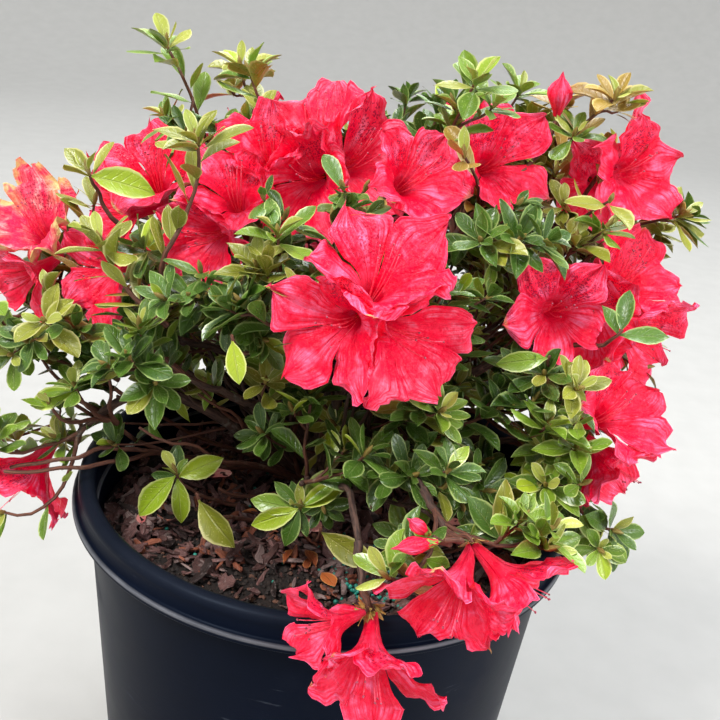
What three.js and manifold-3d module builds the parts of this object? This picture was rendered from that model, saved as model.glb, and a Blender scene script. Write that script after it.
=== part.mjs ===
import * as THREE from "three";
import { mergeVertices } from "three/addons/utils/BufferGeometryUtils.js";
import Module from "manifold-3d";

// An azalea shrub in flower, in a round black nursery pot filled with bark compost.
// Millimetres, +Z up. The origin is the middle of the pot's flat underside, and -Y is the front.
// A short trunk stands on the compost and forks into boughs. Each bough ends where it enters a mass:
// one stem with twigs, leaves and funnel blooms, all grown by the same seeded rule.

const pot = {
  height: 240,
  footRadius: 117,
  footBevel: 2.5,
  wallTopRadius: 133.5,
  wall: 2.4,
  floor: 3,
  skirtRadius: 142.5,
  skirtDrop: 17,
  skirtLip: 3.5,
  grooveDepth: 3.2,
  beadRadius: 4.6,
  ledgeDrop: 20,
  ledgeStep: 1.6,
  sides: 32,
  slots: 8,
  slotWidth: 16,
  slotHeight: 11,
  slotDepth: 9,
};
const compost = { below: 34, mound: 5, roughness: 2.4, rings: 5, sides: 16, seat: 0.3 };
const trunk = {
  x: -8,
  y: 22,
  height: 40,
  footRadius: 17,
  topRadius: 9.5,
  flareHeight: 14,
  lobes: 5,
  lobeDepth: 2.6,
  leanX: 3,
  leanY: -6,
  sides: 10,
  steps: 6,
};
const clearance = 0.3;
// Faces are tried at points this far apart, so two faces stay clear when their points are twice faceAir apart.
const spacing = 3.4;
const faceAir = 2.2;
const woodAir = 0.45;

// The crown's boughs spread from the heart, a little above the middle of the pot's rim.
const heart = new THREE.Vector3(-5, 14, pot.height + 16);
const bough = { radius: 4.3, child: 0.78, tipRadius: 2.3, sides: 5, steps: 4, bend: 0.36, lowest: 9, rise: 22 };
const stem = { short: 0.92, length: 0.66, tipRadius: 1.7, sides: 6, steps: 1 };
const twig = { radius: 1.5, tipRadius: 1.15, sides: 3, steps: 2, lowest: 0.28, highest: 0.92, rise: 0.85 };
const leaf = { length: 36, width: 14, widest: 0.56, cup: 1.8, notch: 2.6, above: 0.9, below: 1.3, inner: 0.36 };
const shootWhorl = { leaves: 6, least: 4, tight: 26, wide: 76 };
const trussWhorl = { leaves: 4, least: 0, tight: 78, wide: 100 };
const bloom = { length: 42, radius: 34, tube: 18, tubeRadius: 6, neck: 3, mouth: 17, touching: 0.4 };
const cap = { perSize: 6.4, narrow: 48, bare: 12, wide: 106, jitter: 0.24, share: 0.88 };
const goldenAngle = THREE.MathUtils.degToRad(137.508);

// Each mass: its head's azimuth from the front, distance out and height above the rim, its size, the bough or
// trunk it comes from and how far along, the pitch of its stem where that isn't the way out from the heart, and
// how far its leader stands up. Its truss: how many blooms, which way they face, their spread, turn and size.
const masses = [
  { name: "crown_top", azimuth: -90, out: 19, up: 184, size: 54, from: "trunk", leader: 30,
    truss: { blooms: 3, face: -5, tilt: 38, spread: 36, turn: 243 } },
  { name: "left_high", azimuth: -107, out: 134, up: 142, size: 54, from: "trunk", leader: 56,
    truss: { blooms: 2, face: -40, tilt: 28, spread: 34, turn: 60 } },
  { name: "left_low", azimuth: -83, out: 173, up: -21, size: 34, from: "trunk", pitch: -48,
    truss: { blooms: 1, face: -40, tilt: -45 } },
  { name: "front_centre", azimuth: 8, out: 97, up: 134, size: 54, from: "trunk",
    truss: { blooms: 3, face: 10, tilt: 17, spread: 36, turn: 325 } },
  { name: "right_mid", azimuth: 88, out: 146, up: 119, size: 54, from: "trunk",
    truss: { blooms: 3, face: 22, tilt: 13, spread: 38, turn: 308 } },
  { name: "back_centre", azimuth: 178, out: 150, up: 104, size: 56, from: "trunk",
    truss: { blooms: 3, face: 176, tilt: 22, spread: 36, turn: 10 } },
  { name: "upper_left", azimuth: -74, out: 74, up: 150, size: 48, from: "left_high", along: 0.34, leader: 22,
    truss: { blooms: 2, face: -24, tilt: 20, spread: 32, turn: 253 } },
  { name: "upper_right", azimuth: 98, out: 74, up: 188, size: 48, from: "crown_top", along: 0.36, leader: 34,
    truss: { blooms: 1, face: 24, tilt: 26 } },
  { name: "right_high", azimuth: 112, out: 163, up: 179, size: 52, from: "right_mid", along: 0.42, leader: 22,
    truss: { blooms: 2, face: 42, tilt: 20, spread: 35, turn: 201 } },
  { name: "right_low", azimuth: 75, out: 158, up: 57, size: 48, from: "right_mid", along: 0.34,
    truss: { blooms: 2, face: 44, tilt: 5, spread: 35, turn: 93 } },
  { name: "centre_right", azimuth: 44, out: 88, up: 70, size: 42, from: "right_mid", along: 0.16 },
  { name: "left_far", azimuth: -95, out: 183, up: 105, size: 50, from: "left_high", along: 0.6,
    truss: { blooms: 2, face: -38, tilt: 13, spread: 36, turn: 268 } },
  { name: "left_mid", azimuth: -66, out: 112, up: 78, size: 50, from: "left_high", along: 0.2 },
  { name: "front_low", azimuth: -12, out: 92, up: 34, size: 42, from: "front_centre", along: 0.16, pitch: 18 },
  { name: "front_hanging", azimuth: 9, out: 174, up: -5, size: 34, from: "front_low", along: 0.55, pitch: -30,
    truss: { blooms: 1, face: 0, tilt: -25 } },
  { name: "front_right_low", azimuth: 25, out: 176, up: 32, size: 38, from: "centre_right", along: 0.45,
    pitch: -16, truss: { blooms: 2, face: 18, tilt: -35, spread: 34, turn: 0, size: 0.92 } },
  { name: "back_left_high", azimuth: -148, out: 128, up: 160, size: 56, from: "back_centre", along: 0.4,
    leader: 30, truss: { blooms: 2, face: -146, tilt: 30, spread: 34, turn: 40 } },
  { name: "back_right_high", azimuth: 152, out: 138, up: 168, size: 56, from: "back_centre", along: 0.52,
    leader: 24, truss: { blooms: 2, face: 148, tilt: 30, spread: 34, turn: 130 } },
  { name: "back_left_low", azimuth: -138, out: 170, up: 62, size: 52, from: "back_centre", along: 0.3,
    truss: { blooms: 2, face: -132, tilt: 6, spread: 34, turn: 75 } },
  { name: "back_right_low", azimuth: 134, out: 172, up: 70, size: 52, from: "back_centre", along: 0.24,
    truss: { blooms: 2, face: 128, tilt: 6, spread: 34, turn: 20 } },
  { name: "back_low", azimuth: 176, out: 164, up: 24, size: 42, from: "back_centre", along: 0.62, pitch: -12,
    truss: { blooms: 1, face: 174, tilt: -14 } },
];

const radians = THREE.MathUtils.degToRad;
const up = new THREE.Vector3(0, 0, 1);

// A seeded source of numbers from 0 to 1.
function seeded(seed) {
  let state = seed >>> 0;
  const next = () => {
    state = (Math.imul(state, 1664525) + 1013904223) >>> 0;
    return state / 4294967296;
  };
  for (let i = 0; i < 3; i += 1) next();
  return next;
}

// The point at an azimuth from the front, a distance out from the pot's middle and a height above its rim.
function place(azimuth, out, height) {
  const a = radians(azimuth);
  return new THREE.Vector3(out * Math.sin(a), -out * Math.cos(a), pot.height + height);
}

// The direction at an azimuth from the front and an angle above level.
function direction(azimuth, angle) {
  const a = radians(azimuth);
  const e = radians(angle);
  return new THREE.Vector3(Math.sin(a) * Math.cos(e), -Math.cos(a) * Math.cos(e), Math.sin(e));
}

// Two directions square to an axis and to each other.
function squareTo(axis) {
  const level = Math.abs(axis.z) > 0.95 ? new THREE.Vector3(1, 0, 0) : up;
  const side = new THREE.Vector3().crossVectors(level, axis).normalize();
  return [side, new THREE.Vector3().crossVectors(axis, side)];
}

// axis turned away from itself by an angle, towards the side at a turn about it.
function splayed(axis, angle, turn) {
  const [u, v] = squareTo(axis);
  const lateral = u.multiplyScalar(Math.cos(turn)).addScaledVector(v, Math.sin(turn));
  return axis.clone().multiplyScalar(Math.cos(angle)).addScaledVector(lateral, Math.sin(angle)).normalize();
}

function bezier(a, b, c, d) {
  return new THREE.CubicBezierCurve3(a, b, c, d);
}

// The rings of a tapering tube along a curve.
function tubeRings(curve, startRadius, endRadius, sides, steps) {
  const frames = curve.computeFrenetFrames(steps, false);
  const points = [];
  for (let i = 0; i <= steps; i += 1) {
    const centre = curve.getPointAt(i / steps);
    const radius = startRadius + ((endRadius - startRadius) * i) / steps;
    for (let k = 0; k < sides; k += 1) {
      const a = (2 * Math.PI * k) / sides;
      const p = centre.clone().addScaledVector(frames.normals[i], radius * Math.cos(a));
      points.push(p.addScaledVector(frames.binormals[i], radius * Math.sin(a)));
    }
  }
  return { points, sides };
}

function tubeFaces(rings, sides) {
  const faces = [];
  for (let i = 0; i + 1 < rings; i += 1) {
    for (let k = 0; k < sides; k += 1) {
      const next = (k + 1) % sides;
      const [a, b] = [i * sides + k, i * sides + next];
      faces.push([a, b, b + sides], [a, b + sides, a + sides]);
    }
  }
  return faces;
}

// A closed mesh from rings of points, with a fan over each end.
function ringedSolid(points, sides, startCentre, endCentre) {
  const faces = tubeFaces(points.length / sides, sides);
  const last = points.length - sides;
  for (let k = 0; k < sides; k += 1) {
    const next = (k + 1) % sides;
    faces.push([points.length, next, k], [points.length + 1, last + k, last + next]);
  }
  return meshOf([...points, startCentre, endCentre], faces);
}

function taperedTube(curve, startRadius, endRadius, sides, steps) {
  const { points } = tubeRings(curve, startRadius, endRadius, sides, steps);
  return ringedSolid(points, sides, curve.getPointAt(0), curve.getPointAt(1));
}

function meshOf(points, faces) {
  const geometry = new THREE.BufferGeometry();
  geometry.setAttribute("position", new THREE.Float32BufferAttribute(points.flatMap((p) => p.toArray()), 3));
  geometry.setIndex(faces.flat());
  return geometry;
}

// A whorl's leaves round a twig's tip: for each, the notch before it and its left edge, tip and right edge.
// The leaves stand at even turns and open by different angles between the tightest and the widest.
function whorl(tip, aim, kind, random) {
  const [u, v] = squareTo(aim);
  const apart = (2 * Math.PI) / kind.leaves;
  const phase = 2 * Math.PI * random();
  const at = (turn, open, reach) => {
    const out = u.clone().multiplyScalar(Math.cos(turn)).addScaledVector(v, Math.sin(turn));
    return tip.clone().addScaledVector(aim, reach * Math.cos(open)).addScaledVector(out, reach * Math.sin(open));
  };
  const leaves = [];
  for (let i = 0; i < kind.leaves; i += 1) {
    const turn = phase + i * apart + 0.16 * apart * (random() - 0.5);
    const open = radians(kind.tight + (kind.wide - kind.tight) * ((i * 0.618) % 1));
    const size = 0.84 + 0.3 * random();
    const middle = leaf.length * size * leaf.widest;
    const radius = middle * Math.sin(open);
    const half = Math.min((leaf.width * size) / 2, radius * Math.tan(0.4 * apart));
    const across = u.clone().multiplyScalar(-Math.sin(turn)).addScaledVector(v, Math.cos(turn));
    const centre = at(turn, open, middle).addScaledVector(aim, leaf.cup);
    leaves.push({
      notch: at(phase + (i - 0.5) * apart, radians(62), leaf.notch),
      edge: [centre.clone().addScaledVector(across, -half), at(turn, open, leaf.length * size),
        centre.clone().addScaledVector(across, half)],
    });
  }
  return leaves;
}

// A twig and the whorl at its tip, as one closed mesh. A leaf that was left out leaves only its notch.
function shootGeometry(curve, aim, leaves) {
  const { points, sides } = tubeRings(curve, twig.radius, twig.tipRadius, twig.sides, twig.steps);
  const tip = curve.getPointAt(1);
  const ring = points.length - sides;
  const faces = tubeFaces(points.length / sides, sides);
  faces.push([0, 2, 1]);
  for (let k = 0; k < sides; k += 1) points[ring + k].addScaledVector(aim, -leaf.below);
  const rim = points.length;
  for (const { notch, edge, kept } of leaves) points.push(notch, ...(kept ? edge : []));
  const count = points.length - rim;
  const [u, v] = squareTo(aim);
  const turnOf = (p) => Math.atan2(p.clone().sub(tip).dot(v), p.clone().sub(tip).dot(u));
  const away = (a, b) => Math.abs(Math.atan2(Math.sin(a - b), Math.cos(a - b)));
  const corners = Array.from({ length: sides }, (_, k) => turnOf(points[ring + k]));
  const nearest = (p) => {
    const turns = corners.map((corner) => away(corner, turnOf(p)));
    return turns.indexOf(Math.min(...turns));
  };
  const step = Math.sin(corners[1] - corners[0]) > 0 ? 1 : sides - 1;
  points.push(tip.clone().addScaledVector(aim, leaf.above));
  let corner = nearest(points[rim]);
  for (let i = 0; i < count; i += 1) {
    const [a, b] = [rim + i, rim + ((i + 1) % count)];
    faces.push([points.length - 1, a, b], [ring + corner, b, a]);
    const next = nearest(points[b]);
    while (corner !== next) {
      const following = (corner + step) % sides;
      faces.push([ring + corner, ring + following, b]);
      corner = following;
    }
  }
  return meshOf(points, faces);
}

// A funnel bloom of five lobes on a short tube. Its base is sunk in the twig's end. Where it would press into
// a neighbour, it stops short of the plane halfway between the two.
function bloomShape({ base, axis, turn, size }, neighbours) {
  const [u, v] = squareTo(axis);
  const at = (angle, r, h) => {
    const p = base.clone().addScaledVector(axis, h * size).addScaledVector(u, r * size * Math.cos(angle))
      .addScaledVector(v, r * size * Math.sin(angle));
    for (let again = 0; again < 3 && h > 0; again += 1) {
      for (const other of neighbours) p.addScaledVector(other.across, Math.max(0, other.short(p)));
    }
    return p;
  };
  const lobe = (2 * Math.PI) / 5;
  const [l, r] = [bloom.length, bloom.radius];
  const points = [at(0, 0, -1.5), at(0, 0, bloom.mouth)];
  const [neck, tube, rim] = [2, 7, 12];
  for (let i = 0; i < 5; i += 1) points.push(at(turn + i * lobe, bloom.neck, 4));
  for (let i = 0; i < 5; i += 1) points.push(at(turn + i * lobe, bloom.tubeRadius, bloom.tube));
  for (let i = 0; i < 5; i += 1) {
    const a = turn + i * lobe;
    points.push(at(a - 0.5 * lobe, 0.46 * r, 0.76 * l), at(a - 0.27 * lobe, 0.86 * r, 0.88 * l));
    points.push(at(a, r, 0.92 * l), at(a + 0.27 * lobe, 0.86 * r, 0.88 * l));
  }
  const faces = [];
  for (let i = 0; i < 5; i += 1) {
    const j = (i + 1) % 5;
    faces.push([0, neck + j, neck + i], [neck + i, neck + j, tube + j], [neck + i, tube + j, tube + i]);
    for (let k = 0; k < 4; k += 1) {
      const [a, b] = [rim + 4 * i + k, rim + ((4 * i + k + 1) % 20)];
      faces.push([tube + i, b, a], [1, a, b]);
    }
    faces.push([tube + i, tube + j, rim + 4 * j]);
  }
  return { points, faces };
}

// Where each mass stands: its head, its own axis, its stem's two ends and its way out of the crown.
function layOut(mass, index) {
  const head = place(mass.azimuth, mass.out, mass.up);
  const outward = head.clone().sub(heart).normalize();
  const axis = mass.pitch === undefined ? outward : direction(mass.azimuth, mass.pitch);
  const centre = head.clone().addScaledVector(axis, -0.6 * mass.size);
  const stemTip = head.clone().addScaledVector(axis, -stem.short * 0.85 * bloom.length - (mass.truss ? 12 : 0));
  const stemBase = stemTip.clone().addScaledVector(axis, -stem.length * mass.size);
  return { ...mass, index, head, axis, centre, stemBase, stemTip };
}

// The truss: a short twig from the stem's tip, and blooms splayed about the way the truss faces.
function trussOf(mass) {
  if (!mass.truss) return null;
  const { blooms: count, face, tilt, spread = 0, turn: firstTurn = 0, size: scale = 1 } = mass.truss;
  const facing = direction(face, tilt);
  const splay = radians(spread);
  const base = mass.head.clone().addScaledVector(facing, -bloom.length * 0.85 * Math.cos(splay));
  const random = seeded(7000 + mass.index);
  const blooms = [];
  for (let i = 0; i < count; i += 1) {
    const axis = splayed(facing, splay, radians(firstTurn) + (2 * Math.PI * i) / count);
    const size = scale * (0.92 + 0.14 * random());
    const middle = base.clone().addScaledVector(axis, 0.8 * bloom.length * size);
    blooms.push({ base, axis, middle, turn: 2 * Math.PI * random(), size });
  }
  return { facing, base, blooms };
}

// The tips of the leafy shoots: points spread by the golden angle over a cap about the mass's axis.
function tipsOf(mass, all) {
  const narrow = Math.cos(radians(mass.truss ? cap.narrow : cap.bare));
  const wide = Math.cos(radians(cap.wide));
  const count = Math.round(mass.size / cap.perSize);
  const tips = [];
  for (let k = 0; k < count; k += 1) {
    const random = seeded(1000 * (mass.index + 1) + k);
    const away = Math.acos(narrow - ((narrow - wide) * (k + 0.5)) / count);
    const around = k * goldenAngle + radians(mass.truss?.turn ?? 0) + 0.5 * (random() - 0.5);
    const ray = splayed(mass.axis, away, around);
    const reach = mass.size * (1 - cap.jitter / 2 + cap.jitter * random());
    const tip = mass.centre.clone().addScaledVector(ray, reach);
    const aim = ray.clone().addScaledVector(up, twig.rise).normalize();
    const leaves = twig.highest - ((twig.highest - twig.lowest) * k) / count;
    tips.push({ k, tip, aim, leaves, random });
  }
  if (mass.leader) {
    const highest = tips.reduce((a, b) => (b.tip.z > a.tip.z ? b : a));
    const tip = highest.tip.clone().addScaledVector(up, mass.leader);
    tips.push({ ...highest, k: count, tip, random: seeded(9000 + mass.index) });
  }
  return tips.filter(({ tip }) =>
    all.every((m) => m.centre.distanceTo(tip) >= cap.share * mass.centre.distanceTo(tip)));
}

function twigCurve(mass, shoot) {
  const start = mass.stemBase.clone().lerp(mass.stemTip, shoot.leaves);
  const reach = start.distanceTo(shoot.tip);
  const leaving = start.clone().addScaledVector(mass.axis, 0.3 * reach);
  const arriving = shoot.tip.clone().addScaledVector(shoot.aim, -0.35 * reach);
  return bezier(start, leaving, arriving, shoot.tip);
}

function trussCurve(mass, truss) {
  const reach = mass.stemTip.distanceTo(truss.base);
  const leaving = mass.stemTip.clone().addScaledVector(mass.axis, 0.3 * reach);
  const arriving = truss.base.clone().addScaledVector(truss.facing, -0.3 * reach);
  return bezier(mass.stemTip.clone().addScaledVector(mass.axis, -2), leaving, arriving, truss.base);
}

const beadRing = pot.skirtRadius - pot.grooveDepth - pot.beadRadius;
const potInnerRadius = beadRing - pot.beadRadius - pot.ledgeStep;
const compostTop = pot.height - compost.below;

// Whether a point stays clear of the pot and of the compost in it.
function clearOfPot(p) {
  const air = 2;
  const out = Math.hypot(p.x, p.y);
  if (p.z > pot.height + air) return true;
  if (out > pot.skirtRadius + air) return p.z > air;
  return out < potInnerRadius - air && p.z > compostTop + compost.mound + air;
}

// Points spread over triangles, no further apart than a few millimetres.
function spreadOver(points, faces) {
  const found = [...points];
  for (const [a, b, c] of faces) {
    const [p, q, r] = [points[a], points[b], points[c]];
    const longest = Math.max(p.distanceTo(q), q.distanceTo(r), r.distanceTo(p));
    const n = Math.ceil(longest / spacing);
    for (let i = 0; i <= n; i += 1) {
      for (let j = 0; i + j <= n; j += 1) {
        const point = p.clone().multiplyScalar(i / n).addScaledVector(q, j / n);
        found.push(point.addScaledVector(r, 1 - i / n - j / n));
      }
    }
  }
  return found;
}

// Points along the straight runs of a tube, between the middles of its rings.
function spreadAlong(curve, steps) {
  const found = [];
  for (let i = 0; i < steps; i += 1) {
    const [a, b] = [curve.getPointAt(i / steps), curve.getPointAt((i + 1) / steps)];
    const n = Math.ceil(a.distanceTo(b) / 2.5);
    for (let j = 0; j < n; j += 1) found.push(a.clone().lerp(b, j / n));
  }
  found.push(curve.getPointAt(1));
  return found;
}

// The space that is already taken: points, the reach that each one keeps clear and the mass that owns it.
const taken = new Map();
const cell = 8;

function cellsRound(p, each) {
  const [x, y, z] = [p.x, p.y, p.z].map((c) => Math.floor(c / cell));
  for (let i = x - 1; i <= x + 1; i += 1) {
    for (let j = y - 1; j <= y + 1; j += 1) {
      for (let k = z - 1; k <= z + 1; k += 1) {
        for (const other of taken.get(`${i},${j},${k}`) ?? []) if (each(other)) return true;
      }
    }
  }
  return false;
}

function take(points, reach, owner) {
  for (const p of points) {
    const key = [p.x, p.y, p.z].map((c) => Math.floor(c / cell)).join(",");
    if (!taken.has(key)) taken.set(key, []);
    taken.get(key).push({ p, reach, owner });
  }
}

// Whether points with a reach stay clear of the pot and of all that is taken, but for what the owner took.
function isFree(points, reach, owner) {
  return points.every((p) => clearOfPot(p)
    && !cellsRound(p, (other) => other.owner !== owner && other.p.distanceTo(p) < reach + other.reach));
}

const wasm = await Module();
wasm.setup();

// A closed geometry as a solid that can be joined and cut, and back.
function solidFrom(geometry) {
  const merged = mergeVertices(geometry, 1e-4);
  return new wasm.Manifold(new wasm.Mesh({
    numProp: 3,
    vertProperties: merged.attributes.position.array,
    triVerts: new Uint32Array(merged.index.array),
  }));
}

function geometryFrom(solid) {
  const mesh = solid.getMesh();
  const geometry = new THREE.BufferGeometry();
  geometry.setAttribute("position", new THREE.BufferAttribute(new Float32Array(mesh.vertProperties), 3));
  geometry.setIndex(new THREE.BufferAttribute(new Uint32Array(mesh.triVerts), 1));
  return geometry;
}

function joined(solids) {
  let round = solids;
  while (round.length > 1) {
    const next = [];
    for (let i = 0; i < round.length; i += 2) {
      next.push(i + 1 < round.length ? round[i].add(round[i + 1]) : round[i]);
    }
    round = next;
  }
  return round[0];
}

function largestBody(solid) {
  return solid.decompose().reduce((a, b) => (b.volume() > a.volume() ? b : a));
}

const materials = {
  pot: new THREE.MeshStandardMaterial({ color: 0x1b1d22, roughness: 0.42, metalness: 0 }),
  compost: new THREE.MeshStandardMaterial({ color: 0x3a2620, roughness: 0.95, metalness: 0 }),
  bark: new THREE.MeshStandardMaterial({ color: 0x4a3026, roughness: 0.85, metalness: 0 }),
  foliage: new THREE.MeshStandardMaterial({ color: 0x3f6b2c, roughness: 0.5, metalness: 0 }),
};

function node(name, geometry, material) {
  const mesh = new THREE.Mesh(geometry, material);
  mesh.name = name;
  return mesh;
}

// The pot: a tapering wall and floor, a skirt round the top with a groove, and a rolled bead above it.
function makePot() {
  const top = pot.height;
  const skirtBottom = top - pot.skirtDrop;
  const profile = [
    [0, 0],
    [pot.footRadius - pot.footBevel, 0],
    [pot.footRadius, pot.footBevel],
    [pot.wallTopRadius, skirtBottom],
    [pot.skirtRadius - 0.8, skirtBottom],
    [pot.skirtRadius, skirtBottom + 1],
    [pot.skirtRadius, skirtBottom + pot.skirtLip],
    [pot.skirtRadius - pot.grooveDepth, skirtBottom + pot.skirtLip + 1.6],
  ];
  for (const angle of [0, 45, 90, 135, 180]) {
    const a = radians(angle);
    profile.push([beadRing + pot.beadRadius * Math.cos(a), top + pot.beadRadius * (Math.sin(a) - 1)]);
  }
  profile.push(
    [potInnerRadius + pot.ledgeStep, top - pot.ledgeDrop],
    [potInnerRadius, top - pot.ledgeDrop - 1],
    [pot.footRadius - pot.wall, pot.floor],
    [0, pot.floor],
  );
  const outline = profile.map(([r, z]) => new THREE.Vector2(r, z));
  const turned = new THREE.LatheGeometry(outline, pot.sides).rotateX(Math.PI / 2);
  turned.deleteAttribute("normal").deleteAttribute("uv");
  let solid = solidFrom(turned);
  for (let i = 0; i < pot.slots; i += 1) {
    const slot = new THREE.BoxGeometry(pot.slotDepth, pot.slotWidth, pot.slotHeight);
    slot.deleteAttribute("normal").deleteAttribute("uv");
    slot.translate(pot.footRadius, 0, pot.floor + pot.slotHeight / 2);
    slot.rotateZ((2 * Math.PI * (i + 0.5)) / pot.slots);
    solid = solid.subtract(solidFrom(slot));
  }
  return node("pot", geometryFrom(solid), materials.pot);
}

// The bark compost fills the pot to below its rim. Its top is uneven, but flat where the trunk stands.
function makeCompost() {
  const random = seeded(41);
  const bottom = pot.floor + compost.seat;
  const wallShare = (compostTop - pot.floor) / (pot.height - pot.ledgeDrop - 1 - pot.floor);
  const bottomRadius = pot.footRadius - pot.wall - compost.seat;
  const topRadius = bottomRadius + (potInnerRadius - pot.footRadius + pot.wall) * wallShare;
  const points = [];
  const ring = (radius, height) => {
    for (let k = 0; k < compost.sides; k += 1) {
      const a = (2 * Math.PI * k) / compost.sides;
      points.push(new THREE.Vector3(radius * Math.cos(a), radius * Math.sin(a), height(k)));
    }
  };
  ring(bottomRadius, () => bottom);
  for (let i = 0; i < compost.rings; i += 1) {
    const share = 1 - i / compost.rings;
    const flat = i === compost.rings - 1;
    const rise = compost.mound * (1 - share * share);
    const radius = flat ? trunk.footRadius + 24 : topRadius * share;
    ring(radius, () => compostTop + (flat ? compost.mound : rise + compost.roughness * (random() - 0.6)));
  }
  const geometry = ringedSolid(points, compost.sides, new THREE.Vector3(0, 0, bottom),
    new THREE.Vector3(0, 0, compostTop + compost.mound));
  return node("compost", geometry, materials.compost);
}

const trunkFoot = new THREE.Vector3(trunk.x, trunk.y, compostTop + compost.mound + clearance);
const trunkTop = trunkFoot.clone().add(new THREE.Vector3(trunk.leanX, trunk.leanY, trunk.height));

// The trunk: a flat cut on the compost, a lobed root flare and a short taper to where the boughs fork.
function trunkGeometry(extra) {
  const points = [];
  for (let i = 0; i <= trunk.steps; i += 1) {
    const share = i / trunk.steps;
    const centre = trunkFoot.clone().lerp(trunkTop, share);
    const flare = Math.exp((-share * trunk.height) / trunk.flareHeight);
    const crownIn = i === trunk.steps ? 0.62 : 1;
    const plain = trunk.topRadius + (trunk.footRadius - trunk.topRadius) * flare;
    for (let k = 0; k < trunk.sides; k += 1) {
      const a = (2 * Math.PI * k) / trunk.sides;
      const radius = crownIn * (plain + trunk.lobeDepth * flare * Math.cos(trunk.lobes * a)) + extra;
      points.push(centre.clone().add(new THREE.Vector3(radius * Math.cos(a), radius * Math.sin(a), 0)));
    }
  }
  const end = trunkTop.clone().add(new THREE.Vector3(0, 0, extra));
  return ringedSolid(points, trunk.sides, trunkFoot, end);
}

const laidOut = masses.map(layOut);

// The boughs' curves: each leaves the trunk or another bough and ends at its mass's stem, in line with it.
function boughCurves() {
  const curves = new Map();
  for (const mass of laidOut) {
    const end = mass.stemBase;
    let start;
    let leaving;
    let radius;
    if (mass.from === "trunk") {
      const lift = bough.lowest + bough.rise * THREE.MathUtils.clamp(mass.up / 180, 0, 1);
      start = trunkFoot.clone().lerp(trunkTop, lift / trunk.height);
      leaving = end.clone().sub(start).normalize().addScaledVector(up, 0.3).normalize();
      radius = bough.radius;
    } else {
      const parent = curves.get(mass.from);
      start = parent.curve.getPointAt(mass.along);
      const way = end.clone().sub(start).normalize();
      leaving = parent.curve.getTangentAt(mass.along).multiplyScalar(0.6).add(way).normalize();
      radius = bough.child * (parent.radius + (bough.tipRadius - parent.radius) * mass.along);
      radius = Math.max(radius, bough.tipRadius + 0.2);
    }
    const reach = start.distanceTo(end);
    const curve = bezier(start, start.clone().addScaledVector(leaving, bough.bend * reach),
      end.clone().addScaledVector(mass.axis, -bough.bend * reach), end);
    curves.set(mass.name, { curve, radius });
  }
  return curves;
}

const limbs = boughCurves();

// Every bough is cut back so that it stands clear of the trunk and of the boughs made before it.
function makeLimbs() {
  const nodes = [node("trunk", trunkGeometry(0), materials.bark)];
  const earlier = [solidFrom(trunkGeometry(clearance))];
  for (const mass of laidOut) {
    const { curve, radius } = limbs.get(mass.name);
    let solid = solidFrom(taperedTube(curve, radius, bough.tipRadius, bough.sides, bough.steps));
    for (const other of earlier) solid = solid.subtract(other);
    nodes.push(node(`bough_${mass.name}`, geometryFrom(largestBody(solid)), materials.bark));
    earlier.push(solidFrom(taperedTube(curve, radius + clearance, bough.tipRadius + clearance,
      bough.sides, bough.steps)));
  }
  return nodes;
}

// Each mass's own wood: its stem, the twigs of its leafy shoots and the twig of its truss.
const plans = laidOut.map((mass) => {
  const stemStart = mass.stemBase.clone().addScaledVector(mass.axis, clearance);
  const truss = trussOf(mass);
  if (truss) truss.curve = trussCurve(mass, truss);
  const shoots = tipsOf(mass, laidOut).map((shoot) => ({ ...shoot, curve: twigCurve(mass, shoot) }));
  return { mass, stemCurve: new THREE.LineCurve3(stemStart, mass.stemTip), truss, shoots, parts: [] };
});

take(spreadAlong(new THREE.LineCurve3(trunkFoot, trunkTop), 1), trunk.footRadius, -1);
for (const { curve, radius } of limbs.values()) take(spreadAlong(curve, bough.steps), radius + woodAir, -1);
for (const { mass, stemCurve } of plans) take(spreadAlong(stemCurve, 1), bough.tipRadius + woodAir, mass.index);

const twigIsFree = (plan, curve) =>
  isFree(spreadAlong(curve, twig.steps), twig.radius + woodAir, plan.mass.index);
const takeTwig = (plan, curve) =>
  take(spreadAlong(curve, twig.steps), twig.radius + woodAir, plan.mass.index);

// The blooms near another, each with the plane between the two and how far a point is short of keeping off it.
function neighboursOf(flower, flowers) {
  const near = flowers.filter((other) => other !== flower && other.middle.distanceTo(flower.middle) < 80);
  return near.map((other) => {
    const across = flower.middle.clone().sub(other.middle).normalize();
    const halfway = flower.middle.clone().lerp(other.middle, 0.5);
    const short = (p) => bloom.touching - p.clone().sub(halfway).dot(across);
    return { across, short, sameTruss: other.base === flower.base };
  });
}

function growBlooms(flowers) {
  const grown = [];
  for (const flower of flowers) {
    const neighbours = neighboursOf(flower, flowers);
    const { points, faces } = bloomShape(flower, neighbours);
    const spread = spreadOver(points, faces);
    const apart = neighbours.every((other) => other.sameTruss || points.every((p) => other.short(p) < 0.2));
    if (!apart || !isFree(spread, faceAir, flower.owner)) continue;
    grown.push({ spread, owner: flower.owner });
    plans[flower.owner].parts.push(meshOf(points, faces));
  }
  for (const { spread, owner } of grown) take(spread, faceAir, owner);
}

// A shoot with the leaves of its whorl that find room. Only a leaf's outer part keeps off its own mass.
function growShoot(plan, curve, aim, kind, random) {
  const tip = curve.getPointAt(1);
  const leaves = whorl(tip, aim, kind, random);
  for (const one of leaves) {
    const spread = spreadOver([tip, ...one.edge], [[0, 1, 2], [0, 2, 3]]);
    one.outer = spread.filter((p) => p.distanceTo(tip) > leaf.inner * leaf.length);
    one.kept = isFree(spread, faceAir, plan.mass.index) && isFree(one.outer, faceAir);
  }
  const kept = leaves.filter((one) => one.kept);
  if (kept.length < kind.least) return;
  takeTwig(plan, curve);
  for (const one of kept) take(one.outer, faceAir, plan.mass.index);
  plan.parts.push(shootGeometry(curve, aim, leaves));
}

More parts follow.
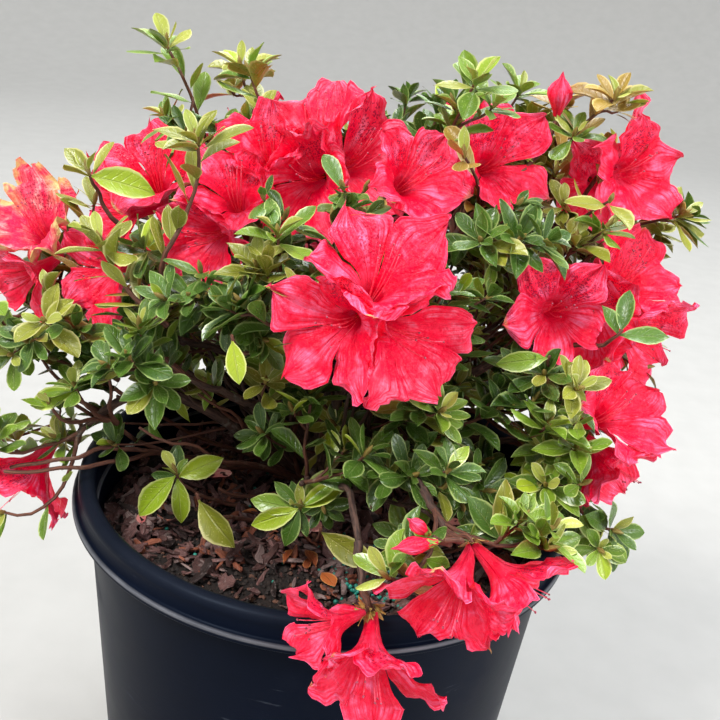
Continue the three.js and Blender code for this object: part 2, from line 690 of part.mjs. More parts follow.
// The trusses grow first, then the shoots of all masses in turn, each with its leaves.
const flowering = plans.filter((plan) => plan.truss && twigIsFree(plan, plan.truss.curve));
for (const plan of flowering) takeTwig(plan, plan.truss.curve);
growBlooms(flowering.flatMap(({ mass, truss }) =>
  truss.blooms.map((flower) => ({ ...flower, owner: mass.index }))));
for (const plan of flowering) {
  growShoot(plan, plan.truss.curve, plan.truss.facing, trussWhorl, seeded(8000 + plan.mass.index));
}
for (let k = 0; k < 12; k += 1) {
  for (const plan of plans) {
    const shoot = plan.shoots.find((one) => one.k === k);
    if (!shoot || !twigIsFree(plan, shoot.curve)) continue;
    growShoot(plan, shoot.curve, shoot.aim, shootWhorl, shoot.random);
  }
}

// One mass: its stem, twigs, leaves and blooms, joined into one solid.
function makeMass({ mass, stemCurve, parts }) {
  const stemTube = taperedTube(stemCurve, bough.tipRadius, stem.tipRadius, stem.sides, stem.steps);
  const solid = largestBody(joined([stemTube, ...parts].map(solidFrom)));
  return node(`mass_${mass.name}`, geometryFrom(solid), materials.foliage);
}

const shrub = new THREE.Group();
shrub.name = "azalea_shrub";
shrub.add(makePot(), makeCompost(), ...makeLimbs(), ...plans.map(makeMass));

export default shrub;
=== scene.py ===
import bisect
import math
import time

import bpy
import numpy as np
from mathutils import Matrix, Vector, noise
from mathutils.bvhtree import BVHTree


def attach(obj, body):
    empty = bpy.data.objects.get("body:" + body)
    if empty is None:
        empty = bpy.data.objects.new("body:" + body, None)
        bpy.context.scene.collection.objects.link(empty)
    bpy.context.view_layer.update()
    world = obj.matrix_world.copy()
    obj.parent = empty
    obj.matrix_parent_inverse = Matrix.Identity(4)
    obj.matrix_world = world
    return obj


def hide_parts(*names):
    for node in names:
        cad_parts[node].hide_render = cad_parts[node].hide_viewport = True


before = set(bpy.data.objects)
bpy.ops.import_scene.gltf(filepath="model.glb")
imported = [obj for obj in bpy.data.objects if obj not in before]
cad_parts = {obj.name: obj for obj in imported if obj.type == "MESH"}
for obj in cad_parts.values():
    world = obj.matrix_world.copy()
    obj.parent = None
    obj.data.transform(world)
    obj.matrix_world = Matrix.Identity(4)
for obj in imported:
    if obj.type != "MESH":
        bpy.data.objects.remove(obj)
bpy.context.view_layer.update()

# An azalea shrub in flower, in its black nursery pot. The shrub grows by the same seeded rule as its
# solids, and goes on to finer twigs, whorls of leaves, ruffled blooms and bark. Sizes are in millimetres
# until a piece is made. The front is -Y.
started = time.time()
mm = 0.001
up = Vector((0, 0, 1))
goldenAngle = math.radians(137.508)

pot = {
    "height": 240, "footRadius": 117, "footBevel": 2.5, "wallTopRadius": 133.5, "wall": 2.4, "floor": 3,
    "skirtRadius": 142.5, "skirtDrop": 17, "skirtLip": 3.5, "grooveDepth": 3.2, "beadRadius": 4.6,
    "ledgeDrop": 20, "ledgeStep": 1.6, "sides": 192, "slots": 8, "slotWidth": 16, "slotHeight": 11,
    "slotDepth": 9,
}
beadRing = pot["skirtRadius"] - pot["grooveDepth"] - pot["beadRadius"]
potInnerRadius = beadRing - pot["beadRadius"] - pot["ledgeStep"]
skirtBottom = pot["height"] - pot["skirtDrop"]
compost = {"below": 34, "mound": 5, "seat": 0.3, "rings": 90, "sides": 240, "crumbs": 1.6, "lumps": 2.2,
           "crumbSize": 9, "lumpSize": 26, "sunk": 1.2}
compostTop = pot["height"] - compost["below"]
trunk = {
    "foot": Vector((-8, 22, compostTop + compost["mound"] + 0.3)), "lean": Vector((3, -6, 0)), "height": 40,
    "footRadius": 17, "topRadius": 9.5, "flareHeight": 14, "lobes": 5, "lobeDepth": 2.6,
    "sides": 64, "rings": 44, "furrow": 0.8,
}
trunkTop = trunk["foot"] + trunk["lean"] + up * trunk["height"]
heart = Vector((-5, 14, pot["height"] + 16))
bough = {"radius": 4.3, "child": 0.78, "tipRadius": 2.3, "bend": 0.36, "lowest": 9, "rise": 22,
         "sides": 14, "steps": 44, "crooked": 1.44, "knots": 0.16, "knotted": 0.12}
stem = {"short": 0.92, "length": 0.66, "tipRadius": 1.5, "bare": 12, "trussRadii": (1.5, 1.2)}
twig = {"lowest": 0.28, "highest": 0.92, "rise": 0.85, "radii": (1.3, 0.75)}
cap = {"perSize": 6.4, "narrow": 48, "bare": 12, "wide": 106, "jitter": 0.24, "share": 0.88}
bloom = {"length": 42, "radius": 34, "neck": 0.85, "middle": 0.8, "near": 80}
# At each truss's base: yellowish bud scales, each bloom's small green calyx, and a closed red bud or two.
trussTrim = {"scales": 8, "scaleLength": 8.5, "sepals": 5, "sepalLength": 4.5, "budLength": 25,
             "budRadius": 4.2, "budRows": 9, "budSides": 12, "form": 2,
             "scaleAngle": (35, 80), "scaleLengths": (0.7, 1.1), "sepalAngle": 24, "budAngle": (62, 92),
             "budCount": (0.6, 2.6), "budLengths": (0.75, 1.1), "budSepalAngle": 22, "budSepalLength": 7}

# Where each kind of growth starts its own run of numbers. The tips and trusses have the solids' own.
seeds = {"leafForms": 51, "chips": 71, "grains": 72, "litter": 73, "tips": 1000, "trusses": 7000,
         "stems": 20000, "shoots": 21000, "boughTwigs": 26000, "petals": 31000, "stamens": 33000,
         "trims": 41000, "thicket": 52000, "placed": 55000, "runners": 57000, "limbs": 61000}


def massOf(name, azimuth, out, up, size, limb, **more):
    return dict(name=name, azimuth=azimuth, out=out, up=up, size=size, limb=limb, leafage=1, leafScale=1,
                bareBelow=-99, slim=1, faded=None, besides=(), buds=()) | more


def trussOf(blooms, face, tilt, spread=0, turn=0, size=1):
    return dict(blooms=blooms, face=face, tilt=tilt, spread=spread, turn=turn, size=size)


# Each mass of the crown: its name, its head's azimuth from the front, distance out and height above the rim,
# its size and the limb that it comes from. Then how far along that limb, the pitch of its stem where that
# isn't the way out from the heart, how far its leader stands up, how thickly it is leaved, and from how low
# over its centre. Its truss: how many blooms, which way they face, their spread, turn and size, and the one
# that is fading. Besides: single blooms, and buds, each with an azimuth, distance, height, way and size.
masses = [
    massOf("crown_top", -90, 19, 184, 54, "trunk", leader=30, truss=trussOf(3, -5, 38, 36, 243),
           besides=[(46, 38, 182, 32, 34, 0.86), (-92, 50, 182, -20, 50, 0.84)]),
    massOf("left_high", -107, 134, 142, 54, "trunk", leader=56, truss=trussOf(2, -40, 28, 34, 60),
           besides=[(-86, 133, 108, -34, 2, 0.86)]),
    massOf("left_low", -83, 173, -21, 34, "trunk", pitch=-48, leafage=0.3, truss=trussOf(1, -40, -45)),
    massOf("front_centre", 8, 97, 134, 54, "trunk", leafage=0.7, bareBelow=-4,
           truss=trussOf(3, 10, 17, 36, 325)),
    massOf("right_mid", 88, 146, 119, 54, "trunk", truss=trussOf(3, 22, 13, 38, 308),
           besides=[(76, 112, 121, 4, 14, 0.9)]),
    massOf("back_centre", 178, 150, 104, 56, "trunk", truss=trussOf(3, 176, 22, 36, 10)),
    massOf("upper_left", -74, 74, 150, 48, "left_high", along=0.34, leader=22,
           truss=trussOf(2, -24, 20, 32, 253)),
    massOf("upper_right", 98, 74, 188, 48, "crown_top", along=0.36, leader=34, truss=trussOf(1, 24, 26),
           buds=[(108, 104, 219, -20, 78, 0.85, 1.9)]),
    massOf("right_high", 112, 163, 179, 52, "right_mid", along=0.42, leader=22,
           truss=trussOf(2, 42, 20, 35, 201), besides=[(99, 148, 188, 26, 18, 0.9)]),
    massOf("right_low", 75, 158, 57, 48, "right_mid", along=0.34, truss=trussOf(2, 44, 5, 35, 93)),
    massOf("centre_right", 44, 88, 70, 42, "right_mid", along=0.16, leafage=0.6),
    massOf("left_far", -95, 183, 105, 50, "left_high", along=0.6, faded=1,
           truss=trussOf(2, -38, 13, 36, 268)),
    massOf("left_mid", -66, 112, 78, 50, "left_high", along=0.2, leafage=0.7, bareBelow=-2),
    massOf("front_low", -12, 92, 34, 42, "front_centre", along=0.16, pitch=18, leafage=0.35, bareBelow=28),
    massOf("front_hanging", 9, 174, -5, 34, "front_low", along=0.55, pitch=-30, leafage=0, leafScale=0.75,
           bareBelow=10, slim=0.7, truss=trussOf(1, 0, -25), besides=[(1, 158, 10, -60, -10, 0.72)]),
    massOf("front_right_low", 25, 176, 32, 38, "centre_right", along=0.45, pitch=-16, leafage=0.6,
           bareBelow=-14, slim=0.7, truss=trussOf(2, 18, -35, 34, 0, 0.92),
           buds=[(14, 161, 68, -62, 40, 0.8, 0.95), (13, 164, 60, -76, -8, 1.0, 0.95)]),
    massOf("back_left_high", -148, 128, 160, 56, "back_centre", along=0.4, leader=30,
           truss=trussOf(2, -146, 30, 34, 40)),
    massOf("back_right_high", 152, 138, 168, 56, "back_centre", along=0.52, leader=24,
           truss=trussOf(2, 148, 30, 34, 130)),
    massOf("back_left_low", -138, 170, 62, 52, "back_centre", along=0.3, truss=trussOf(2, -132, 6, 34, 75)),
    massOf("back_right_low", 134, 172, 70, 52, "back_centre", along=0.24, truss=trussOf(2, 128, 6, 34, 20)),
    massOf("back_low", 176, 164, 24, 42, "back_centre", along=0.62, pitch=-12, truss=trussOf(1, 174, -14)),
]


def report(stage):
    print(f"{time.time() - started:6.1f} s  {stage}")


class Dice:
    # a seeded source of numbers from 0 to 1, the same one that the solids grow by
    def __init__(self, seed):
        self.state = seed
        for _ in range(3):
            self.roll()

    def roll(self):
        self.state = (self.state * 1664525 + 1013904223) % 4294967296
        return self.state / 4294967296

    def turn(self):
        return 6.3 * self.roll()

    def pair(self):
        return self.roll(), self.roll()

    def between(self, low, high):
        return low + (high - low) * self.roll()

    def pick(self, shares):
        left = self.roll() * sum(shares.values())
        for name, share in shares.items():
            left -= share
            if left <= 0:
                return name
        return name


def diceFor(kind, number=0):
    return Dice(seeds[kind] + number)


def turns(sides):
    return [2 * math.pi * k / sides for k in range(sides)]


def polar(radius, angle):
    return radius * math.cos(angle), radius * math.sin(angle)


def spoke(u, v, angle):
    return u * math.cos(angle) + v * math.sin(angle)


def place(azimuth, out, height):
    a = math.radians(azimuth)
    return Vector((out * math.sin(a), -out * math.cos(a), pot["height"] + height))


def direction(azimuth, angle):
    a, e = math.radians(azimuth), math.radians(angle)
    return Vector((math.sin(a) * math.cos(e), -math.cos(a) * math.cos(e), math.sin(e)))


def squareTo(axis):
    level = Vector((1, 0, 0)) if abs(axis.z) > 0.95 else up
    side = level.cross(axis).normalized()
    return side, axis.cross(side)


def splayed(axis, angle, turn):
    # axis turned away from itself by an angle, towards the side at a turn about it
    return spoke(axis, spoke(*squareTo(axis), turn), angle).normalized()


class Curve:
    # a smooth run through four control points, read by the share of its length
    def __init__(self, *controls):
        self.controls = controls
        self.lengths = [0.0]
        before = controls[0]
        for i in range(1, 101):
            here = self.bent(i / 100)
            self.lengths.append(self.lengths[-1] + (here - before).length)
            before = here

    def bent(self, t):
        a, b, c, d = self.controls
        s = 1 - t
        return a * s ** 3 + b * (3 * s * s * t) + c * (3 * s * t * t) + d * t ** 3

    def at(self, share):
        target = share * self.lengths[-1]
        i = min(max(bisect.bisect_right(self.lengths, target) - 1, 0), 99)
        step = self.lengths[i + 1] - self.lengths[i]
        return self.bent((i + (target - self.lengths[i]) / step) / 100)

    def way(self, share):
        return (self.at(min(share + 0.01, 1)) - self.at(max(share - 0.01, 0))).normalized()


def layOut(index, mass):
    head = place(mass["azimuth"], mass["out"], mass["up"])
    axis = (head - heart).normalized() if "pitch" not in mass else direction(mass["azimuth"], mass["pitch"])
    bare = stem["bare"] if "truss" in mass else 0
    stemTip = head - axis * (stem["short"] * bloom["neck"] * bloom["length"] + bare)
    mass.update(index=index, head=head, axis=axis, centre=head - axis * 0.6 * mass["size"], stemTip=stemTip,
                stemBase=stemTip - axis * stem["length"] * mass["size"])


def sector(mass):
    if abs(mass["azimuth"]) < 60:
        return "front"
    if abs(mass["azimuth"]) > 125:
        return "back"
    return "left" if mass["azimuth"] < 0 else "right"


def bloomAt(mass, number, dice, base, axis, size):
    return dict(base=base, axis=axis, size=size, turn=2 * math.pi * dice.roll(), mass=mass, number=number,
                middle=base + axis * bloom["middle"] * bloom["length"] * size, faded=number == mass["faded"])


def trussesOf(mass):
    # for each truss, the base that its blooms share and each bloom's own axis, turn and size
    found = []
    dice = diceFor("trusses", mass["index"])
    if "truss" in mass:
        truss = mass["truss"]
        facing, spread = direction(truss["face"], truss["tilt"]), math.radians(truss["spread"])
        base = mass["head"] - facing * bloom["length"] * bloom["neck"] * math.cos(spread)
        blooms = []
        for i in range(truss["blooms"]):
            axis = splayed(facing, spread, math.radians(truss["turn"]) + 2 * math.pi * i / truss["blooms"])
            blooms.append(bloomAt(mass, i, dice, base, axis, truss["size"] * (0.92 + 0.14 * dice.roll())))
        found.append(dict(facing=facing, base=base, flowers=blooms))
    for i, (azimuth, out, rise, face, tilt, size) in enumerate(mass["besides"]):
        axis = direction(face, tilt)
        base = place(azimuth, out, rise) - axis * bloom["middle"] * bloom["length"] * size
        found.append(dict(facing=axis, base=base, flowers=[bloomAt(mass, 5 + i, dice, base, axis, size)]))
    for azimuth, out, rise, face, tilt, size, fat in mass["buds"]:
        axis = direction(face, tilt)
        base = place(azimuth, out, rise) - axis * 0.6 * trussTrim["budLength"] * size
        found.append(dict(facing=axis, base=base, flowers=[], bud=(size, fat)))
    return found


def tipsOf(mass):
    # the tips of the leafy shoots: points spread by the golden angle over a cap about the mass's axis
    narrow = math.cos(math.radians(cap["narrow"] if "truss" in mass else cap["bare"]))
    wide = math.cos(math.radians(cap["wide"]))
    count = int(mass["size"] / cap["perSize"] + 0.5)
    tips = []
    for k in range(count):
        dice = diceFor("tips", 1000 * mass["index"] + k)
        away = math.acos(narrow - (narrow - wide) * (k + 0.5) / count)
        first = math.radians(mass.get("truss", {}).get("turn", 0))
        ray = splayed(mass["axis"], away, k * goldenAngle + first + 0.5 * (dice.roll() - 0.5))
        reach = mass["size"] * (1 - cap["jitter"] / 2 + cap["jitter"] * dice.roll())
        tips.append(dict(k=k, tip=mass["centre"] + ray * reach, aim=(ray + up * twig["rise"]).normalized(),
                         leaves=twig["highest"] - (twig["highest"] - twig["lowest"]) * k / count))
    if "leader" in mass:
        highest = max(tips, key=lambda shoot: shoot["tip"].z)
        tips.append({**highest, "k": count, "tip": highest["tip"] + up * mass["leader"], "leader": True})
    return [one for one in tips if all(
        (m["centre"] - one["tip"]).length >= cap["share"] * (mass["centre"] - one["tip"]).length
        for m in masses)]


def twigCurve(mass, shoot):
    start = mass["stemBase"].lerp(mass["stemTip"], shoot["leaves"])
    reach = (start - shoot["tip"]).length
    return Curve(start, start + mass["axis"] * 0.3 * reach, shoot["tip"] - shoot["aim"] * 0.35 * reach,
                 shoot["tip"])


def trussCurve(mass, truss):
    start, base = mass["stemTip"], truss["base"]
    reach = (start - base).length
    return Curve(start - mass["axis"] * 2, start + mass["axis"] * 0.3 * reach,
                 base - truss["facing"] * 0.3 * reach, base)


def boughCurves():
    # each bough leaves the trunk or another bough and ends at its mass's stem, in line with it
    curves = {}
    for mass in masses:
        end = mass["stemBase"]
        if mass["limb"] == "trunk":
            lift = bough["lowest"] + bough["rise"] * min(max(mass["up"] / 180, 0), 1)
            start = trunk["foot"].lerp(trunkTop, lift / trunk["height"])
            leaving = ((end - start).normalized() + up * 0.3).normalized()
            radius = bough["radius"]
        else:
            parent, parentRadius = curves[mass["limb"]]
            start = parent.at(mass["along"])
            leaving = (parent.way(mass["along"]) * 0.6 + (end - start).normalized()).normalized()
            radius = bough["child"] * (parentRadius + (bough["tipRadius"] - parentRadius) * mass["along"])
            radius = max(radius, bough["tipRadius"] + 0.2)
        reach = (end - start).length
        curves[mass["name"]] = (Curve(start, start + leaving * bough["bend"] * reach,
                                      end - mass["axis"] * bough["bend"] * reach, end), radius)
    return curves


def newObject(name, data):
    made = bpy.data.objects.new(name, data)
    bpy.context.scene.collection.objects.link(made)
    return made


def meshOf(name, points, faces):
    mesh = bpy.data.meshes.new(name)
    mesh.from_pydata(points, [], faces)
    return mesh


class Pile:
    # gathers points, faces, their finish and two texture places until they are made into one joined piece
    def __init__(self):
        self.points, self.blades, self.marks = [], [], []
        self.faces, self.finishes = [], []
        self.count = 0

    def add(self, points, faces, finish=0, blade=None, mark=(0.5, 0.5)):
        points = np.asarray(points, float)
        size = len(points)
        start = self.count
        self.points.append(points)
        self.blades.append(np.zeros((size, 2)) if blade is None else np.asarray(blade, float))
        self.marks.append(np.broadcast_to(np.asarray(mark, float), (size, 2)))
        self.faces.extend(tuple(c + start for c in face) for face in faces)
        self.finishes.extend([finish] * len(faces))
        self.count += size

    def triangles(self):
        return sum(len(face) - 2 for face in self.faces)

    def mesh(self, name):
        return meshOf(name, (np.concatenate(self.points) * mm).tolist(), self.faces)

    def make(self, name, slotName, materials, nodes=(), smooth=True):
        mesh = self.mesh(name)
        corners = np.zeros(len(mesh.loops), np.int32)
        mesh.loops.foreach_get("vertex_index", corners)
        for label, found in (("blade", self.blades), ("mark", self.marks)):
            layer = mesh.uv_layers.new(name=label)
            layer.data.foreach_set("uv", np.concatenate(found)[corners].astype(np.float32).ravel())
        mesh.polygons.foreach_set("material_index", np.array(self.finishes, np.int32))
        mesh.polygons.foreach_set("use_smooth", np.full(len(mesh.polygons), smooth))
        for material in materials:
            mesh.materials.append(material)
        mesh.update()
        piece = newObject(name, mesh)
        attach(piece, "root")
        if nodes:
            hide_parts(*nodes)
        report(f"{name}: {self.triangles()} triangles")
        return piece


def gridFaces(rows, columns, closed=False):
    faces = []
    for i in range(rows - 1):
        for j in range(columns if closed else columns - 1):
            a, b = i * columns + j, i * columns + (j + 1) % columns
            faces.append((a, b, b + columns, a + columns))
    return faces


def cappedFaces(rows, sides):
    # the faces of a tube whose last ring is closed by a fan to one more point
    last = (rows - 1) * sides
    fan = [(last + k, last + (k + 1) % sides, last + sides) for k in range(sides)]
    return gridFaces(rows, sides, closed=True) + fan


def tube(pile, path, radii, sides, finish=0, mark=(0.5, 0.5), relief=None):
    # a tapering tube along a path, closed at its far end
    side = squareTo((path[1] - path[0]).normalized())[0]
    points, blade, run = [], [], 0.0
    for i, here in enumerate(path):
        way = (path[min(i + 1, len(path) - 1)] - path[max(i - 1, 0)]).normalized()
        side = (side - way * side.dot(way)).normalized()
        across = way.cross(side)
        run += (here - path[i - 1]).length if i else 0
        for k, a in enumerate(turns(sides)):
            out = spoke(side, across, a)
            rise = relief(here + out * radii[i], a, run) if relief else 0
            points.append(here + out * (radii[i] + rise))
            blade.append((k / sides, run / 10))
    points.append(path[-1] + (path[-1] - path[-2]).normalized() * radii[-1] * 0.5)
    blade.append((0.5, run / 10))
    pile.add(points, cappedFaces(len(path), sides), finish, blade, mark)


for index, mass in enumerate(masses):
    layOut(index, mass)
limbs = boughCurves()
trusses = {mass["name"]: trussesOf(mass) for mass in masses}
flowers = [one for found in trusses.values() for truss in found for one in truss["flowers"]]
report(f"laid out {len(masses)} masses and {len(flowers)} blooms")


# Shader maths: a wrapped socket takes part in sums, and every sum adds its Math node.
def maths(operation):
    def forward(self, other=0.0):
        return self.shade.node("Math", {"operation": operation}, {0: self, 1: other})

    def reflected(self, other):
        return self.shade.node("Math", {"operation": operation}, {0: other, 1: self})

    return forward, reflected


class Sock:
    def __init__(self, shade, socket):
        self.shade = shade
        self.socket = socket

    __add__, __radd__ = maths("ADD")
    __sub__, __rsub__ = maths("SUBTRACT")
    __mul__, __rmul__ = maths("MULTIPLY")
    __truediv__, __rtruediv__ = maths("DIVIDE")
    __pow__ = maths("POWER")[0]
    __abs__ = maths("ABSOLUTE")[0]
    part = maths("FRACT")[0]

    def eased(self, low, high):
        # 0 below low, 1 above high and smooth between, or the other way round where low is over high
        ends = (low, high, 0.0, 1.0) if low < high else (high, low, 1.0, 0.0)
        return self.shade.node("MapRange", {"interpolation_type": "SMOOTHSTEP"},
                               {0: self, 1: ends[0], 2: ends[1], 3: ends[2], 4: ends[3]})


class Shade:
    # one material and the nodes that make its finish
    def __init__(self, name):
        self.material = bpy.data.materials.new(name)
        self.material.use_nodes = True
        self.tree = self.material.node_tree
        self.surface = self.tree.nodes["Principled BSDF"]

    def feed(self, socket, value):
        if isinstance(value, Sock):
            self.tree.links.new(value.socket, socket)
        else:
            socket.default_value = value

    def node(self, kind, settings=None, values=None, out=0):
        made = self.tree.nodes.new("ShaderNode" + kind)
        for name, setting in (settings or {}).items():
            setattr(made, name, setting)
        for name, value in (values or {}).items():
            self.feed(made.inputs[name], value)
        return Sock(self, made.outputs[out])

    def finish(self, **sockets):
        for name, value in sockets.items():
            self.feed(self.surface.inputs[name.replace("_", " ")], value)
        return self.material

    def objectPlace(self):
        return self.node("TexCoord", out="Object")

    def uvPlace(self, label):
        return self.node("UVMap", {"uv_map": label})

    def parts(self, vector):
        split = self.node("SeparateXYZ", None, {0: vector})
        return [Sock(self, split.socket.node.outputs[axis]) for axis in "XYZ"]

    def stretched(self, vector, scale):
        return self.node("VectorMath", {"operation": "MULTIPLY"}, {0: vector, 1: scale})

    def noise(self, vector, scale, detail=2.0, roughness=0.5):
        return self.node("TexNoise", None, {"Vector": vector, "Scale": scale, "Detail": detail,
                                            "Roughness": roughness})

    def blend(self, share, first, second):
        # from one colour to another, each a socket or a screen code
        first, second = (tint(c) if isinstance(c, str) else c for c in (first, second))
        return self.node("Mix", {"data_type": "RGBA", "blend_type": "MIX", "clamp_factor": True},
                         {0: share, 6: first, 7: second}, out=2)

    def bump(self, height, strength, distance):
        return self.node("Bump", None, {"Strength": strength, "Distance": distance, "Height": height})


def tint(code):
    # a colour from its screen code, in Blender's linear light
    parts = [int(code[i:i + 2], 16) / 255 for i in (0, 2, 4)]
    return tuple(((c + 0.055) / 1.055) ** 2.4 if c > 0.04045 else c / 12.92 for c in parts) + (1.0,)


# The leaves' tints: the blade's deep and pale ends, its rib, and the painted highlight along its margin in
# the rib's tint.
leafTints = {
    "leafDeep": dict(deep="2f4e18", pale="5c7e2a", rib="9cb068", gloss=0.3),
    "leafGreen": dict(deep="48691a", pale="84a22c", rib="bac878", gloss=0.32),
    "leafOlive": dict(deep="6e741e", pale="a4a63a", rib="d2cc86", gloss=0.36),
    "leafLime": dict(deep="7c9a1c", pale="b2c430", rib="dce190", gloss=0.34),
    "leafBronze": dict(deep="8a6a26", pale="bc9e42", rib="d8c07c", gloss=0.38),
    "leafYoung": dict(deep="8c9a34", pale="bcc058", rib="dadaa0", gloss=0.38),
}
leafNames = list(leafTints)


def leafFinish(name, deep, pale, rib, gloss):
    shade = Shade(name)
    across, along, _ = shade.parts(shade.uvPlace("blade"))
    oddness, _, _ = shade.parts(shade.uvPlace("mark"))
    fromRib = abs(across - 0.5) * 2
    blotches = shade.noise(shade.objectPlace(), 160.0, 3.0)
    veinWave = abs((along * 7 - fromRib * 1.7).part() - 0.5) * 2
    veins = veinWave.eased(0.72, 0.98) * fromRib.eased(0.98, 0.7)
    ribLine = fromRib.eased(0.1, 0.02)
    # The pale band along the leaf's margin is a painted highlight, in the rib's tint.
    margin = fromRib.eased(0.76, 0.95)
    body = shade.blend(oddness * 0.65 + blotches * 0.35, deep, pale)
    specks = shade.noise(shade.objectPlace(), 1200.0, 1.0).eased(0.65, 0.71) * blotches.eased(0.38, 0.55)
    veinsAndEdgeHighlight = shade.blend(veins * 0.03 + ribLine * 0.2 + margin * 0.85 + specks * 0.7, body, rib)
    relief = blotches * 0.6 - ribLine * 0.8 - veins * 0.2
    return shade.finish(Base_Color=veinsAndEdgeHighlight, Roughness=blotches * 0.24 + (gloss - 0.12),
                        Normal=shade.bump(relief, 0.7, 0.0008), Specular_IOR_Level=0.6)


# The petals: their body, the pale of the painted sheen on their lobes, the deep red of the painted shade in
# their creases and throat, and how far they have dried.
petalTints = {
    "petalRed": dict(body="f40036", pale="ff7eac", deep="d0002e"),
    "petalCoral": dict(body="f8043e", pale="ff8cb0", deep="d80036"),
    "petalFaded": dict(body="ea1c50", pale="ffc0b8", deep="d0103c", dried=1.1),
}
petalNames = list(petalTints)


def petalFinish(name, body, pale, deep, dried=0.0):
    shade = Shade(name)
    blade = shade.uvPlace("blade")
    across, along, _ = shade.parts(blade)
    marked, oddness, _ = shade.parts(shade.uvPlace("mark"))
    fromMiddle = abs(across - 0.5) * 2
    streaks = shade.noise(shade.stretched(blade, (22.0, 2.6, 1.0)), 1.0, 3.0, 0.55)
    patches = shade.noise(shade.objectPlace(), 110.0, 3.0)
    crinkles = shade.noise(shade.objectPlace(), 420.0, 3.0, 0.6)
    dots = shade.node("TexVoronoi", {"feature": "F1"},
                      {"Vector": shade.stretched(blade, (24.0, 44.0, 1.0)), "Scale": 1.0})
    speckles = dots.eased(0.5, 0.34) * marked * along.eased(0.4, 0.5) * along.eased(0.92, 0.78)
    speckled = speckles * fromMiddle.eased(0.9, 0.55)
    # Painted highlight: the pale sheen on the lobes, stronger towards their tips, in patches, along their
    # edges and laid along the streaks.
    margin = fromMiddle.eased(0.8, 1.0) * along.eased(0.55, 0.75)
    sheen = along.eased(0.6, 1.0) * 0.24 + patches.eased(0.44, 0.66) * 0.6 + oddness * 0.1 + margin * 0.55
    lobes = shade.blend(sheen * streaks.eased(0.32, 0.72) * 1.35, body, pale)
    # Painted shade: deep red in the creases among the streaks and crinkles, and deepening into the throat.
    shaded = shade.blend(streaks.eased(0.5, 0.28) * 0.35 + crinkles.eased(0.5, 0.36) * 0.35, lobes, deep)
    shadedThroat = shade.blend(along.eased(0.62, 0.25) * 0.6, shaded, deep)
    spotted = shade.blend(speckled * 0.75, shadedThroat, "940032")
    tipped = along.eased(0.9, 0.98) * oddness.eased(0.8, 0.84) * patches.eased(0.4, 0.55)
    dry = fromMiddle.eased(0.35, 0.95) * along.eased(0.5, 0.8) * patches.eased(0.38, 0.54) * dried
    withered = shade.blend(tipped * 0.9 + dry, spotted, "dcb878")
    relief = streaks * 0.8 + crinkles * 1.1 - fromMiddle.eased(0.2, 0.0) * 0.6
    # The petals glow a little in their own colour: a painted glow in place of the light that passes through
    # them, which keeps them bright in their shade.
    return shade.finish(Base_Color=withered, Emission_Color=withered, Emission_Strength=0.16,
                        Roughness=patches * 0.25 + 0.24, Normal=shade.bump(relief, 0.9, 0.0014),
                        Specular_IOR_Level=0.28)


def plainFinish(name, low, high, scale, roughness, depth=0.4, stretch=(1.0, 1.0, 1.0)):
    # a body colour that wanders between two, with a fine grain in its gloss and surface
    shade = Shade(name)
    where = shade.stretched(shade.objectPlace(), stretch)
    grain = shade.noise(where, scale, 4.0, 0.6)
    body = shade.blend(grain.eased(0.3, 0.7), low, high)
    return shade.finish(Base_Color=body, Roughness=grain * 0.2 + (roughness - 0.1),
                        Normal=shade.bump(grain, depth, 0.0008))


def barkFinish(name, groove, ridge, lichen):
    shade = Shade(name)
    where = shade.uvPlace("blade")
    plates = shade.noise(shade.stretched(where, (7.0, 0.9, 1.0)), 1.0, 4.0, 0.65)
    flecks = shade.noise(shade.objectPlace(), 420.0, 2.0)
    grey = shade.noise(shade.objectPlace(), 60.0, 3.0)
    body = shade.blend(plates.eased(0.35, 0.65), groove, ridge)
    aged = shade.blend(grey.eased(0.55, 0.7) * flecks.eased(0.4, 0.7) * 0.7, body, lichen)
    return shade.finish(Base_Color=aged, Roughness=flecks * 0.25 + 0.62,
                        Normal=shade.bump(plates + flecks * 0.3, 0.6, 0.0012))


# Where the pot is worn pale along the skirt's lip, partly a painted highlight there, pale along the inner
# ledge, painted with a highlight on the bead's top, and dusty: limits of radius and height in metres, each
# from nothing to full.
wearAndHighlights = {"lip": (0.1408, 0.1416), "lipTop": (0.2274, 0.2266), "lipFoot": (0.2249, 0.2258),
        "ledge": (0.1312, 0.1306), "ledgeTop": (0.2214, 0.2206), "ledgeFoot": (0.2192, 0.2199),
        "bead": (0.2345, 0.239), "dust": (0.07, 0.0)}


